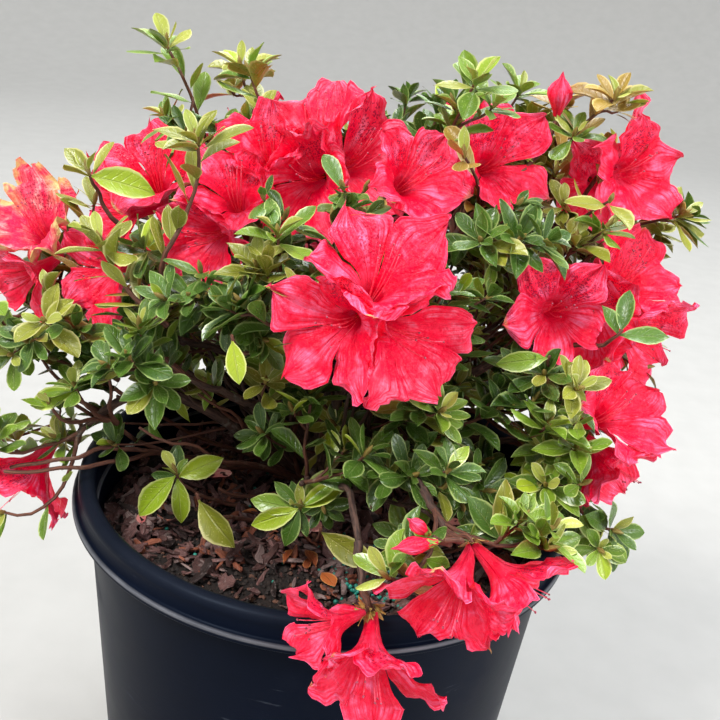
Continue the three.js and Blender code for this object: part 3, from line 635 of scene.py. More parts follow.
def potFinish():
    # black nursery plastic: satin, scuffed, dusty at the foot and worn pale along the skirt's lower edge,
    # with painted light:
    # a blue cast of reflected sky, a highlight along that edge and one on the bead's top
    shade = Shade("potPlastic")
    where = shade.objectPlace()
    x, y, z = shade.parts(where)
    out = (x * x + y * y) ** 0.5
    scuffs = shade.noise(shade.stretched(where, (30.0, 30.0, 260.0)), 1.0, 5.0, 0.7)
    smears = shade.noise(where, 24.0, 3.0)
    fine = shade.noise(where, 900.0, 2.0)
    lip = out.eased(*wearAndHighlights["lip"]) * z.eased(*wearAndHighlights["lipTop"]) * z.eased(*wearAndHighlights["lipFoot"])
    ledge = out.eased(*wearAndHighlights["ledge"]) * z.eased(*wearAndHighlights["ledgeTop"]) * z.eased(*wearAndHighlights["ledgeFoot"])
    dust = z.eased(*wearAndHighlights["dust"]) * smears.eased(0.35, 0.7) + smears.eased(0.6, 0.75) * 0.35
    marks = scuffs.eased(0.62, 0.7) * smears.eased(0.45, 0.6)
    # The near-black body's blue cast is a painted reflection of the sky.
    body = shade.blend(smears, "050914", "0b1222")
    dusty = shade.blend(dust * 0.06, body, "5a5c60")
    scuffed = shade.blend(marks * 0.3, dusty, "5f6570")
    # A pale line along the skirt's lip, partly wear and partly a painted highlight, and a fainter pale line
    # along the inner ledge.
    worn = shade.blend(lip * scuffs * 0.7 + ledge * 0.25, scuffed, "a0a1a8")
    # Painted highlight: the top of the bead lighter, in a greyish blue.
    beadHighlight = shade.blend(z.eased(*wearAndHighlights["bead"]) * (smears * 0.4 + 0.1), worn, "2c3038")
    return shade.finish(Base_Color=beadHighlight, Roughness=smears * 0.16 + marks * 0.15 + dust * 0.2 + 0.3,
                        Normal=shade.bump(fine * 0.4 + scuffs * 0.6, 0.12, 0.0006), Specular_IOR_Level=0.05,
                        Specular_Tint=(0.6, 0.75, 1.0, 1.0))


leafMaterials = [leafFinish(name, **tints) for name, tints in leafTints.items()]
petalMaterials = [petalFinish(name, **tints) for name, tints in petalTints.items()]
barkMaterials = [
    barkFinish("barkOld", "2c1c18", "654a3e", "8d8478"),
    barkFinish("twigBrown", "42241c", "7c4c38", "8a7664"),
    barkFinish("twigYoung", "7a5a2c", "a09048", "aca070"),
]
report("made the finishes of the leaves, petals and bark")


def clearOfPot(p, air=2.0):
    out = math.hypot(p[0], p[1])
    if p[2] > pot["height"] + air:
        return True
    if out > pot["skirtRadius"] + air:
        return p[2] > air
    return out < potInnerRadius - air and p[2] > compostTop + compost["mound"] + air + 1


# The funnel bloom, from its neck to the lobes' tips: height, radius, half of a lobe's width and how far the
# lobe has come free of the tube.
petal = {
    "rows": 26, "columns": 17, "lobes": 5, "freeFrom": 0.42,
    "run": [(0, 1.8, 1.1, 0), (4, 3.0, 1.8, 0), (11, 4.2, 2.5, 0), (17, 5.8, 3.6, 0), (21.5, 8.8, 6.0, 0.12),
            (25.5, 12.8, 9.7, 0.55), (29.2, 17.4, 13.0, 0.9), (32.2, 22.2, 14.4, 1), (34.6, 26.8, 12.6, 1),
            (36.6, 31.0, 8.6, 1), (37.8, 34.2, 4.2, 1), (38.4, 36.2, 0.3, 1)],
    "ruffle": 3.7, "crease": 2.0, "pleat": 0.8, "crumple": 1.8, "fine": 0.7, "bend": 7, "reflex": 24,
    "withered": 2.1, "overlap": 3.0, "soft": 4.0, "wander": 5.0, "coral": 0.35,
}
# How far the lobes may differ from each other, in the order that each lobe draws them.
lobeRanges = {"swing": (-0.08, 0.08), "wide": (1.0, 1.18), "long": (0.94, 1.08), "fold": (-0.12, 0.42),
              "point": (0.25, 0.82), "bend": (-0.7, 0.8), "reflex": (0.0, 0.55), "lap": (0.1, 0.26)}
waveRanges = {"waves": (1.1, 2.3), "pleats": (2.4, 4.2)}
# The last thread of each bloom is its longer pistil.
stamens = {"least": 4, "most": 6, "reach": 36, "radius": 0.26, "rise": 10, "anther": 0.7,
           "splay": (2.5, 7.5), "reaches": (0.86, 1.08), "rises": (0.5, 1.1), "pistil": 1.14}


def petalRows():
    run = np.array(petal["run"], float)
    steps = np.sqrt((np.diff(run[:, :2], axis=0) ** 2).sum(axis=1))
    length = np.concatenate([[0], np.cumsum(steps)]) / steps.sum()
    shares = np.linspace(0, 1, petal["rows"]) ** 0.75
    return [np.interp(shares, length, run[:, c]) for c in range(4)] + [shares]


def noiseAt(points, scale, shift=0.0):
    # a smooth random height at each point, with a finer one on it
    found = []
    for p in points.reshape(-1, 3):
        coarse = Vector(p) / scale + Vector((shift, 0, 0))
        fine = Vector(p) / (0.42 * scale) + Vector((0, shift, 0))
        found.append(noise.noise(coarse) + 0.5 * noise.noise(fine))
    return np.array(found).reshape(points.shape[:-1])


def bloomMesh(flower, neighbours):
    # five lobes as one sheet each: pointed, ruffled at the margin, creased along the middle and crumpled
    dice = diceFor("petals", 10 * flower["mass"]["index"] + flower["number"])
    u, v = squareTo(flower["axis"])
    heights, radii, halves, free, shares = (c[:, None] for c in petalRows())
    s = np.linspace(-1, 1, petal["columns"])[None, :]
    lobe = 2 * math.pi / petal["lobes"]
    gain, base, axis = flower["size"], np.array(flower["base"]), np.array(flower["axis"])
    t = np.clip((shares - petal["freeFrom"]) / (1 - petal["freeFrom"]), 0, 1)
    lapped = 1 if dice.roll() < 0.5 else -1
    limp = petal["withered"] if flower["faded"] else 1
    found = []
    for i in range(petal["lobes"]):
        turn = flower["turn"] + i * lobe
        swing, wide, long, fold, point, bend, reflex, lap = (dice.between(*r) for r in lobeRanges.values())
        waves = [2 * math.pi * dice.between(*waveRanges["waves"]) for _ in range(2)]
        phases = [2 * math.pi * dice.roll() for _ in range(4)]
        pleats = dice.between(*waveRanges["pleats"])
        half = halves * (1 + (wide - 1) * free) * (1 - point * np.clip((t - 0.45) / 0.55, 0, 1) ** 1.3)
        r = radii * (1 + (long - 1) * free)
        x = (1 - free) * r * np.cos(s * lobe / 2) + free * (r + 0 * s)
        y = (1 - free) * r * np.sin(s * lobe / 2) + free * s * half
        wave, second = (np.where(s < 0, np.sin(pace * waves[0] * t + phases[k]),
                                 np.sin(pace * waves[1] * t + phases[k + 1]))
                        for pace, k in ((1, 0), (2.3, 2)))
        edge = np.abs(s) ** 1.5
        z = petal["ruffle"] * limp * edge * (wave + 0.4 * second) * (0.4 + 0.6 * t)
        z = z - petal["crease"] * np.exp(-(s / 0.2) ** 2) * (1 - 0.5 * t) + lapped * lap * s * half
        z = z + petal["pleat"] * np.sin(math.pi * pleats * s + phases[2]) * (1 - 0.3 * t)
        z = z + fold * np.abs(s) * half
        z = z + petal["bend"] * bend * t ** 1.5 - petal["reflex"] * reflex * np.clip(t - 0.45, 0, 1) ** 2
        x = x - 9 * reflex * np.clip(t - 0.6, 0, 1) ** 1.5 - 3 * abs(bend) * t ** 3
        y = y + free * 1.2 * edge * np.sin(7 * t + phases[3]) * np.sign(s)
        flat = np.stack([x, y, 0 * x], axis=-1)
        z = heights + free * (z + limp * petal["crumple"] * noiseAt(flat, 8.5, turn * 9)
                              + limp * petal["fine"] * noiseAt(flat, 4.5, turn * 7))
        angle = turn + swing * free + 0 * s
        cosine, sine = np.cos(angle)[..., None], np.sin(angle)[..., None]
        out, along = cosine * np.array(u) + sine * np.array(v), -sine * np.array(u) + cosine * np.array(v)
        points = base + gain * (x[..., None] * out + y[..., None] * along + z[..., None] * axis)
        for middle, side, sign in neighbours:
            depth = (points - middle) @ side + petal["overlap"]
            near = depth < petal["soft"] + petal["wander"] * 1.5
            if near.any():
                wandering = np.zeros(depth.shape)
                wandering[near] = sign * petal["wander"] * noiseAt(points[near], 16)
                depth = depth + wandering
                soft = petal["soft"]
                kept = np.where(depth < soft, soft * np.exp(np.clip(depth / soft, -20, 1) - 1), depth)
                points = points + (kept - depth)[..., None] * side
        found.append((points.reshape(-1, 3), Vector(out[0, 0]).dot(up)))
    return found


def neighboursOf(flower):
    # the planes halfway to the other blooms near it, that its petals reach only a little past
    planes = []
    for other in flowers:
        gap = flower["middle"] - other["middle"]
        if other is not flower and gap.length < bloom["near"]:
            sign = 1 if flowers.index(flower) < flowers.index(other) else -1
            halfway = (flower["middle"] + other["middle"]) / 2
            planes.append((np.array(halfway), np.array(gap.normalized()), sign))
    return planes


def growBlooms():
    petals, threads = Pile(), Pile()
    columns = petal["columns"]
    faces = gridFaces(petal["rows"], columns)
    shares = petalRows()[4]
    blade = [(j / (columns - 1), share) for share in shares for j in range(columns)]
    for flower in flowers:
        dice = diceFor("stamens", 10 * flower["mass"]["index"] + flower["number"])
        lobes = bloomMesh(flower, neighboursOf(flower))
        best = max(upward for _, upward in lobes)
        kind = 1 if dice.roll() < petal["coral"] else 0
        if flower["faded"]:
            kind = petalNames.index("petalFaded")
        for points, upward in lobes:
            speckled = max(0.0, 1 - 1.6 * (best - upward))
            petals.add(points, faces, kind, blade, (speckled, dice.roll()))
        addStamens(threads, flower, dice)
    return petals, threads


def addStamens(pile, flower, dice):
    u, v = squareTo(flower["axis"])
    axis, gain = flower["axis"], flower["size"]
    rising = up - axis * up.dot(axis)
    rising = rising.normalized() if rising.length > 0.2 else u
    count = int(dice.between(stamens["least"], stamens["most"] + 0.99))
    for i in range(count + 1):
        last = i == count
        turn = 2 * math.pi * (i + 0.6 * dice.roll()) / count
        lateral = spoke(u, v, turn) * dice.between(*stamens["splay"])
        reach = stamens["reach"] * dice.between(*stamens["reaches"]) * (stamens["pistil"] if last else 1)
        bend = stamens["rise"] * dice.between(*stamens["rises"])
        path = []
        for k in range(8):
            t = k / 7
            path.append(flower["base"] + gain * (axis * (6 + reach * t) + lateral * (0.15 + 0.85 * t)
                                                 + rising * bend * (t ** 2.2 - 0.35 * t)))
        thin = stamens["radius"] * (1.2 if last else 1)
        tube(pile, path, [thin] * 7 + [thin * 0.8], 4, 0)
        way = (path[-1] - path[-2]).normalized()
        turned = (way + lateral.normalized() * 0.8).normalized() if not last else way
        long = stamens["anther"] * (0.55 if last else 1)
        anther = [path[-1] + turned * long * c for c in (-0.9, -0.5, 0.5, 0.9)]
        tube(pile, anther, [0.15, 0.5, 0.5, 0.2], 5, 1)


petalPile, threadPile = growBlooms()
petalSheets = BVHTree.FromPolygons(np.concatenate(petalPile.points).tolist(), petalPile.faces)
report(f"grew {len(flowers)} blooms")
# From the front only the shoots in places of their own grow before the blooms, out to this share of their
# radius.
lookout = {"from": Vector((0, -502, 528)), "share": 0.43}
# The room that leaves keep free in a bloom's funnel and before its mouth: heights and half-widths there.
mouth = {"from": 5, "heights": (18, 38, 56), "widths": (6, 28, 15.4)}


def petalAir(p):
    return petalSheets.find_nearest(p)[3]


def crossesPetal(start, end):
    return petalSheets.ray_cast(start, end - start, (end - start).length)[0] is not None


def hidesBloom(p, sight=True):
    # whether a point lies in a bloom's funnel or close before its mouth, or hides it from the front
    for flower in flowers:
        away = p - flower["base"]
        h = away.dot(flower["axis"]) / flower["size"]
        if mouth["from"] < h < mouth["heights"][-1] and away.length < bloom["near"]:
            out = (away - flower["axis"] * away.dot(flower["axis"])).length / flower["size"]
            if out < np.interp(h, mouth["heights"], mouth["widths"]):
                return True
        if sight and sector(flower["mass"]) != "back":
            line = flower["middle"] - lookout["from"]
            ray, seen = line.normalized(), p - lookout["from"]
            depth = seen.dot(ray)
            if 0 < depth < line.length - 2:
                off = (seen - ray * depth).length * line.length / depth
                if off < bloom["radius"] * flower["size"] * lookout["share"]:
                    return True
    return False


# A leaf's outline: its rows' places, and their half-widths on an elliptic leaf and on a blunt one that is
# widest past its middle, both with a short stalk. The first kinds are elliptic, as the large leaves are.
leaf = {"length": 25, "rows": [0, 0.07, 0.2, 0.37, 0.55, 0.72, 0.86, 0.95, 1],
        "elliptic": [0.04, 0.14, 0.56, 0.88, 1.0, 0.86, 0.52, 0.2, 0.01],
        "blunt": [0.04, 0.09, 0.4, 0.74, 0.97, 1.0, 0.76, 0.38, 0.02], "columns": 5, "kinds": 14, "large": 5,
        "apart": 2.6, "cell": 4, "stray": 0.07, "middleAir": 2.2, "tipAir": 1.2}
leafRanges = {"ratio": (0.36, 0.5), "fold": (-0.3, 0.55), "droop": (-0.04, 0.26), "twist": (-0.3, 0.3),
              "wave": (0, 0.03)}


def leafShapes():
    shapes = []
    dice = diceFor("leafForms")
    columns = leaf["columns"]
    for kind in range(leaf["kinds"]):
        ratio, fold, droop, twist, wave = (dice.between(*r) for r in leafRanges.values())
        phase = dice.turn()
        points, blade = [], []
        for t, wide in zip(leaf["rows"], leaf["elliptic" if kind < leaf["large"] else "blunt"]):
            half = 0.5 * ratio * wide
            for j in range(columns):
                s = -1 + 2 * j / (columns - 1)
                turn = twist * t
                lift = fold * abs(s) ** 1.6 * half * 1.6 + wave * s * math.sin(9 * t + phase)
                x, z = s * half, lift
                points.append((x * math.cos(turn) - z * math.sin(turn), t - 0.3 * droop * t * t,
                               x * math.sin(turn) + z * math.cos(turn) - droop * t * t))
                blade.append((j / (columns - 1), t))
        shapes.append(np.array(points))
    return shapes, np.array(blade)


leafForms, leafBlade = leafShapes()
leafFaces = gridFaces(len(leaf["rows"]), leaf["columns"])
leafCells = {}


def crowded(p):
    key = tuple(int(c // leaf["cell"]) for c in p)
    near = [q for i in (-1, 0, 1) for j in (-1, 0, 1) for k in (-1, 0, 1)
            for q in leafCells.get((key[0] + i, key[1] + j, key[2] + k), ())]
    if any((q - p).length < leaf["apart"] for q in near):
        return True
    leafCells.setdefault(key, []).append(p)
    return False


def leafPoints(shape, root, way, face, length, wide=1.0):
    across = way.cross(face).normalized()
    return shape @ (np.array([across * wide, way, across.cross(way)]) * length) + np.array(root)


def addLeaf(pile, dice, points, finish):
    pile.add(points, leafFaces, finish, leafBlade, dice.pair())


def growLeaf(pile, dice, root, way, face, length, kind, forms=leaf["kinds"], sight=True):
    tip, middle = root + way * length, root + way * length * 0.55
    for p in (tip, middle):
        if not clearOfPot(p) or hidesBloom(p, sight):
            return False
    if (petalAir(middle) < leaf["middleAir"] or petalAir(tip) < leaf["tipAir"] or crossesPetal(root, tip)
            or crowded(middle)):
        return False
    shape = leafForms[int(dice.roll() * forms) % forms]
    if dice.roll() < leaf["stray"] and forms == leaf["kinds"]:
        kind = "leafOlive" if dice.roll() < 0.6 else "leafLime"
    addLeaf(pile, dice, leafPoints(shape, root, way, face, length), leafNames.index(kind))
    return True


# A whorl of leaves at a shoot's tip, from small upright ones in its middle to wide ones round it, or only the
# small ones.
whorls = {
    "usual": {"least": 7, "most": 10, "tight": 22, "wide": 90, "small": 0.5, "light": 0.2},
    "small": {"least": 3, "most": 5, "tight": 16, "wide": 60, "small": 0.5, "light": 0.1},
}
# How far each leaf of a whorl strays in its opening in degrees, its turn and its length.
whorlRanges = {"opened": (-9, 9), "turn": (-0.25, 0.25), "length": (0.88, 1.12)}


def growWhorl(leaves, dice, tip, aim, kind, scale=1.0, whorl=whorls["usual"], sight=True):
    u, v = squareTo(aim)
    count = int(dice.between(whorl["least"], whorl["most"] + 0.99))
    phase = 2 * math.pi * dice.roll()
    grown = 0
    for i in range(count):
        share = (i + 0.5) / count
        opened = math.radians(whorl["tight"] + (whorl["wide"] - whorl["tight"]) * share ** 0.8
                              + dice.between(*whorlRanges["opened"]))
        turn = phase + i * goldenAngle + dice.between(*whorlRanges["turn"])
        lateral = spoke(u, v, turn)
        way = spoke(aim, lateral, opened)
        face = (aim * math.sin(opened) - lateral * math.cos(opened) + up * 0.35).normalized()
        way = (way + up * whorl["light"] * math.sin(opened)).normalized()
        length = leaf["length"] * scale * (whorl["small"] + (1 - whorl["small"]) * share ** 0.6)
        length *= dice.between(*whorlRanges["length"])
        root = tip - aim * 5.0 * share * scale
        shown = "leafYoung" if i < 2 and kind != "leafDeep" else kind
        grown += growLeaf(leaves, dice, root, way, face, length, shown, sight=sight)
    if grown:
        bud = [tip - aim * 1.5, tip + aim * 1.5, tip + aim * 4.2, tip + aim * 6.6]
        tube(twigPile, bud, [0.9, 1.5, 1.2, 0.3], 6, 2, (dice.roll(), 1.0))
    return grown


# What the sprays of a mass are dealt: most are green, those at the upper right more olive and yellow as
# painted sunlight, and the leaders more olive.
sprayTints = {
    "usual": dict(leafDeep=0.5, leafGreen=0.35, leafOlive=0.12, leafLime=0.01, leafBronze=0.02),
    "low": dict(leafDeep=0.38, leafGreen=0.42, leafOlive=0.14, leafLime=0.06),
    "sunny": dict(leafDeep=0.16, leafGreen=0.42, leafOlive=0.32, leafLime=0.05, leafBronze=0.05),
    "leader": dict(leafGreen=0.34, leafOlive=0.46, leafLime=0.06, leafBronze=0.14),
}
# The finer growth: side twigs on each shoot, single leaves along it, and sparse twigs along the boughs.
finer = {"sides": 4, "from": 0.26, "to": 0.9, "splay": 46, "least": 0.28, "most": 0.52, "singles": 12,
         "sideSingles": 3, "perBough": 9, "boughFrom": 0.22, "bare": 0.42, "short": 40, "air": 2.5,
         "singleAngle": (38, 64), "singleLength": (0.78, 1.02), "sideScale": (0.72, 0.95),
         "boughTwig": (22, 52), "boughScale": (0.7, 0.9), "sideRadii": (0.9, 0.6), "bareRadii": (0.8, 0.4)}
leafPiles = {name: Pile() for name in ("front", "back", "left", "right")}
twigPile = Pile()


def crookedPath(curve, steps, sway, dice):
    # points along a curve that wander from it, but not at its ends
    u, v = squareTo(curve.way(0.5))
    phases = [dice.turn() for _ in range(4)]
    path = []
    for i in range(steps + 1):
        t = i / steps
        ease = math.sin(math.pi * t) * sway
        swayU = math.sin(7 * t + phases[0]) + 0.5 * math.sin(17 * t + phases[1])
        swayV = math.sin(8 * t + phases[2]) + 0.5 * math.sin(19 * t + phases[3])
        path.append(curve.at(t) + u * ease * swayU + v * ease * swayV)
    return path


# How far a shoot is bent sideways and back from the blooms, tried in turn, and the air it keeps to them.
detour = {"sideways": (0, 10, -10, 20, -20), "back": (0, 8, 16, 26, 38), "air": 1.6}


def clearOfPetals(path):
    return (all(petalAir(p) > detour["air"] for p in path)
            and not any(crossesPetal(a, b) for a, b in zip(path, path[1:])))


def wayRound(mass, curve):
    # a shoot's curve, bent back from the blooms as far as it must be to pass them
    found = trusses[mass["name"]]
    back = -(found[0]["facing"] if found else mass["axis"])
    for sideways in detour["sideways"]:
        for shift in detour["back"]:
            push = back * shift + squareTo(back)[0] * sideways
            a, b, c, d = curve.controls
            bent = Curve(a, b + push, c + push * 1.2, d)
            if clearOfPetals([bent.at(i / 12) for i in range(13)]):
                return bent
    return None


def tapered(first, last, steps):
    return [first + (last - first) * i / steps for i in range(steps + 1)]


def addStem(path, radii, sides, finish, mark):
    tube(twigPile, path, tapered(*radii, len(path) - 1), sides, finish, mark)


def growSide(mass, dice, parent, share, turn, length, kind, scale):
    # a finer twig off a shoot or a bough, that bends up towards the light and ends in a whorl
    start, way = parent.at(share), parent.way(share)
    way = splayed(way, math.radians(finer["splay"] * dice.between(0.7, 1.3)), turn)
    end = start + way * length + up * length * 0.3
    away = end - mass["centre"]
    most = mass["size"] * (1 + cap["jitter"] / 2) + 5
    if away.length > most and length < 60:
        end = mass["centre"] + away * (most / away.length)
    aim = (way + up * 0.8).normalized()
    if not clearOfPot(end, 3) or hidesBloom(end) or petalAir(end) < finer["air"]:
        return
    curve = Curve(start, start + way * length * 0.35, end - aim * length * 0.3, end)
    steps = 5 if length < finer["short"] else 8
    path = crookedPath(curve, steps, 0.02 * length, dice)
    if not clearOfPetals(path) or not growWhorl(leafPiles[sector(mass)], dice, end, aim, kind, scale):
        return
    addStem(path, finer["sideRadii"], 5, 1, dice.pair())
    growSingles(leafPiles[sector(mass)], dice, curve, 0.4, finer["sideSingles"], turn, kind, scale)


def growSingles(leaves, dice, curve, first, count, phase, kind, scale, sight=True):
    # leaves one by one up a stem, each turned on from the last and rising
    for i in range(count):
        share = first + (0.94 - first) * (i + 0.4 * dice.roll()) / count
        along = curve.way(share)
        way = splayed(along, math.radians(dice.between(*finer["singleAngle"])), phase + i * goldenAngle)
        way = (way + up * 0.2).normalized()
        growLeaf(leaves, dice, curve.at(share), way, (up + along * 0.7).normalized(),
                 leaf["length"] * scale * dice.between(*finer["singleLength"]), kind, sight=sight)


def growMass(mass):
    leaves = leafPiles[sector(mass)]
    dice = diceFor("stems", mass["index"])
    first, last = mass["stemBase"], mass["stemTip"]
    stemCurve = Curve(first, first.lerp(last, 0.33), first.lerp(last, 0.66), last)
    addStem(crookedPath(stemCurve, 8, 0.8, dice), (bough["tipRadius"], stem["tipRadius"]), 8, 0,
            (dice.roll(), 0.0))
    for truss in trusses[mass["name"]]:
        addStem(crookedPath(trussCurve(mass, truss), 8, 0.5, dice), stem["trussRadii"], 7, 1,
                (dice.roll(), 0.5))
    # Masses high up on the right, but not at the back, are dealt the sunny tints, which paint sunlight on
    # them.
    sunny = mass["azimuth"] > 30 and mass["up"] > 100 and sector(mass) != "back"
    table = sprayTints["low" if mass["up"] < 60 else "sunny" if sunny else "usual"]
    for shoot in tipsOf(mass):
        growShoot(mass, leaves, table, shoot)
    curve = limbs[mass["name"]][0]
    dice = diceFor("boughTwigs", mass["index"])
    for i in range(round(finer["perBough"] * mass["leafage"])):
        share = finer["boughFrom"] + (0.95 - finer["boughFrom"]) * (i + dice.roll()) / finer["perBough"]
        turn, length = i * goldenAngle + dice.roll(), dice.between(*finer["boughTwig"])
        if dice.roll() < finer["bare"]:
            start, way = curve.at(share), splayed(curve.way(share), math.radians(50), turn)
            end = start + way * length * 0.8
            path = crookedPath(Curve(start, start.lerp(end, 0.3), end - up * 3, end), 6, 1.0, dice)
            if clearOfPot(end, 3) and clearOfPetals(path):
                addStem(path, finer["bareRadii"], 5, 1, (dice.roll(), 0.2))
        else:
            growSide(mass, dice, curve, share, turn, length, dice.pick(table),
                     dice.between(*finer["boughScale"]))


def growShoot(mass, leaves, table, shoot):
    # a leafy shoot of the solids, with its whorl, the leaves along it and the finer twigs off it
    dice = diceFor("shoots", 100 * mass["index"] + shoot["k"])
    if not clearOfPot(shoot["tip"], 3):
        return
    curve = wayRound(mass, twigCurve(mass, shoot))
    if not curve or shoot["tip"].z < mass["centre"].z + mass["bareBelow"]:
        return
    kind, size = dice.pick(sprayTints["leader"] if "leader" in shoot else table), mass["leafScale"]
    path = crookedPath(curve, 9, 0.8, dice)
    if not growWhorl(leaves, dice, shoot["tip"], shoot["aim"], kind, size):
        return
    addStem(path, twig["radii"], 6, 1, dice.pair())
    phase = dice.turn()
    growSingles(leaves, dice, curve, 0.3, round(finer["singles"] * mass["leafage"]), phase, kind, size)
    sides = round(finer["sides"] * mass["leafage"])
    for i in range(sides):
        share = finer["from"] + (finer["to"] - finer["from"]) * (i + dice.roll()) / sides
        side = kind if dice.roll() < 0.6 else dice.pick(table)
        growSide(mass, dice, curve, share, phase + 1 + i * goldenAngle,
                 mass["size"] * dice.between(finer["least"], finer["most"]), side,
                 size * dice.between(*finer["sideScale"]))


# Thin old stems that fan out from the trunk's foot into the crown.
thicket = {"perMass": 4, "perLowMass": 1, "radius": 1.7, "thick": (0.7, 1.2), "tipRadius": 0.7, "old": 0.7,
           "spread": 0.55, "height": (3, 24), "out": 9, "rise": (0.5, 1.3), "sway": (1.5, 4)}


def growThicket(mass):
    dice = diceFor("thicket", mass["index"])
    for _ in range(thicket["perMass" if mass["up"] > 60 else "perLowMass"]):
        start = trunk["foot"] + up * dice.between(*thicket["height"])
        turned = Vector((dice.between(-1, 1), dice.between(-1, 1), dice.between(-1, 0.4)))
        end = mass["centre"] + turned * thicket["spread"] * mass["size"]
        reach = (end - start).length
        level = Vector((end.x - start.x, end.y - start.y, 0)).normalized()
        start = start + level * thicket["out"]
        leaving = (level + up * dice.between(*thicket["rise"])).normalized()
        arriving = mass["axis"] + up * 0.4
        curve = Curve(start, start + leaving * 0.35 * reach, end - arriving * 0.25 * reach, end)
        path = crookedPath(curve, 12, dice.between(*thicket["sway"]), dice)
        if clearOfPetals(path) and all(clearOfPot(p, 2.5) for p in path):
            radii = thicket["radius"] * dice.between(*thicket["thick"]), thicket["tipRadius"]
            addStem(path, radii, 6, 0 if dice.roll() < thicket["old"] else 1, dice.pair())


# Shoots in places of their own: the tip, its base where that isn't in the compost, the tint, scale and form
# of its whorl, how many single leaves it has, and its large leaves: how far each points to the right and up
# as seen from the front, its length and tint.
placedShoots = [
    ((-82, -35, 248), None, ("Green", 0.8, "small"), 0,
     [(0.92, 0.39, 28, "Lime"), (-0.7, -0.71, 33, "Lime"), (0.12, -0.99, 28, "Lime"), (0.04, 1.0, 18, "Deep"),
      (-1.0, 0.03, 16, "Deep"), (0.5, 0.8, 11, "Green")]),
    ((-66, -61, 252), None, None, 0, [(0.56, -0.83, 34, "Olive")]),
    ((-12, -61, 251), None, ("Green", 0.85, "small"), 0,
     [(-0.96, 0.27, 29, "Green"), (-0.94, -0.34, 30, "Lime"), (0.72, 0.69, 31, "Green"),
      (0.87, 0.46, 26, "Lime"), (-0.3, 0.95, 15, "Deep"), (0.1, 1.0, 18, "Green"), (0.26, -0.96, 15, "Deep"),
      (-0.42, -0.9, 24, "Deep"), (-0.7, 0.7, 19, "Deep")]),
    ((0, -70, 246), None, None, 0, [(0.81, -0.58, 36, "Olive")]),
    ((11, -8, 263), None, None, 0, [(-0.86, -0.51, 34, "Olive")]),
    ((-133, -48, 300), (-118, -8, 258), ("Green", 0.9, "usual"), 0, [(-0.97, -0.24, 29, "Lime")]),
    ((-118, -42, 306), (-118, -8, 258), ("Deep", 0.85, "usual"), 0, []),
    ((-163, -14, 302), (-118, -8, 258), ("Deep", 0.85, "usual"), 0, []),
    ((-146, -48, 288), (-118, -8, 258), ("Green", 0.8, "small"), 0, [(0.5, 0.8, 20, "Olive")]),
    ((50, -38, 262), None, ("Deep", 0.95, "usual"), 0, []),
    ((46, -58, 238), None, None, 0, [(-0.3, 0.95, 24, "Green"), (0.5, 0.86, 26, "Green"),
                                     (0.9, -0.3, 22, "Olive"), (-0.8, 0.3, 20, "Deep")]),
    ((86, -72, 262), None, ("Deep", 1.0, "usual"), 0, []),
    ((-35, -61, 395), (-20, -20, 330), ("Green", 1.05, "usual"), 0, []),
    ((-44, -62, 378), (-24, -20, 318), ("Olive", 1.0, "usual"), 0, []),
    ((-20, -84, 376), (-8, -30, 320), ("Green", 1.0, "usual"), 0, []),
    ((-50, -88, 354), (-34, -50, 330), None, 0, [(0.15, -0.98, 22, "Lime")]),
    ((98, -56, 324), (60, -14, 300), ("Deep", 1.05, "usual"), 0, []),
    ((116, -45, 326), (80, -8, 300), ("Deep", 1.0, "usual"), 0, []),
    ((104, -70, 318), (66, -20, 296), ("Green", 1.0, "usual"), 0, []),
    ((-123, -37, 374), (-86, -52, 340), ("Olive", 1.15, "usual"), 9, []),
    ((-77, -43, 430), (-88, -38, 352), ("Olive", 1.05, "usual"), 8, []),
    ((-138, -5, 400), (-122, 0, 372), ("Olive", 0.9, "small"), 0,
     [(0.97, -0.22, 35, "Lime"), (-0.55, 0.6, 20, "Olive")]),
    ((-140, -24, 318), (-116, -10, 296), ("Green", 1.05, "usual"), 5, []),
    ((-156, -22, 308), (-120, -8, 286), ("Deep", 1.05, "usual"), 5, []),
    ((-128, -30, 303), (-112, -10, 276), ("Deep", 1.05, "usual"), 5, []),
    ((137, -44, 362), (118, -20, 340), None, 0,
     [(0.2, 0.95, 24, "Deep"), (0.95, -0.05, 25, "Deep"), (-0.4, 0.9, 18, "Deep")]),
    ((102, -54, 348), (112, -26, 330), None, 0, [(-0.97, -0.1, 27, "Green")]),
    ((80, -127, 288), (64, -92, 262), None, 0,
     [(0.1, 1.0, 27, "Olive"), (-0.55, 0.83, 25, "Deep"), (0.62, 0.78, 26, "Green"), (0.97, 0.25, 26, "Deep"),
      (-0.95, 0.3, 22, "Deep"), (0.8, -0.5, 24, "Olive")]),
]
placedRadii = (1.5, 0.8)
rightInView, upInView = Vector((0.99, 0.03, 0.11)), Vector((-0.11, 0.4, 0.91))


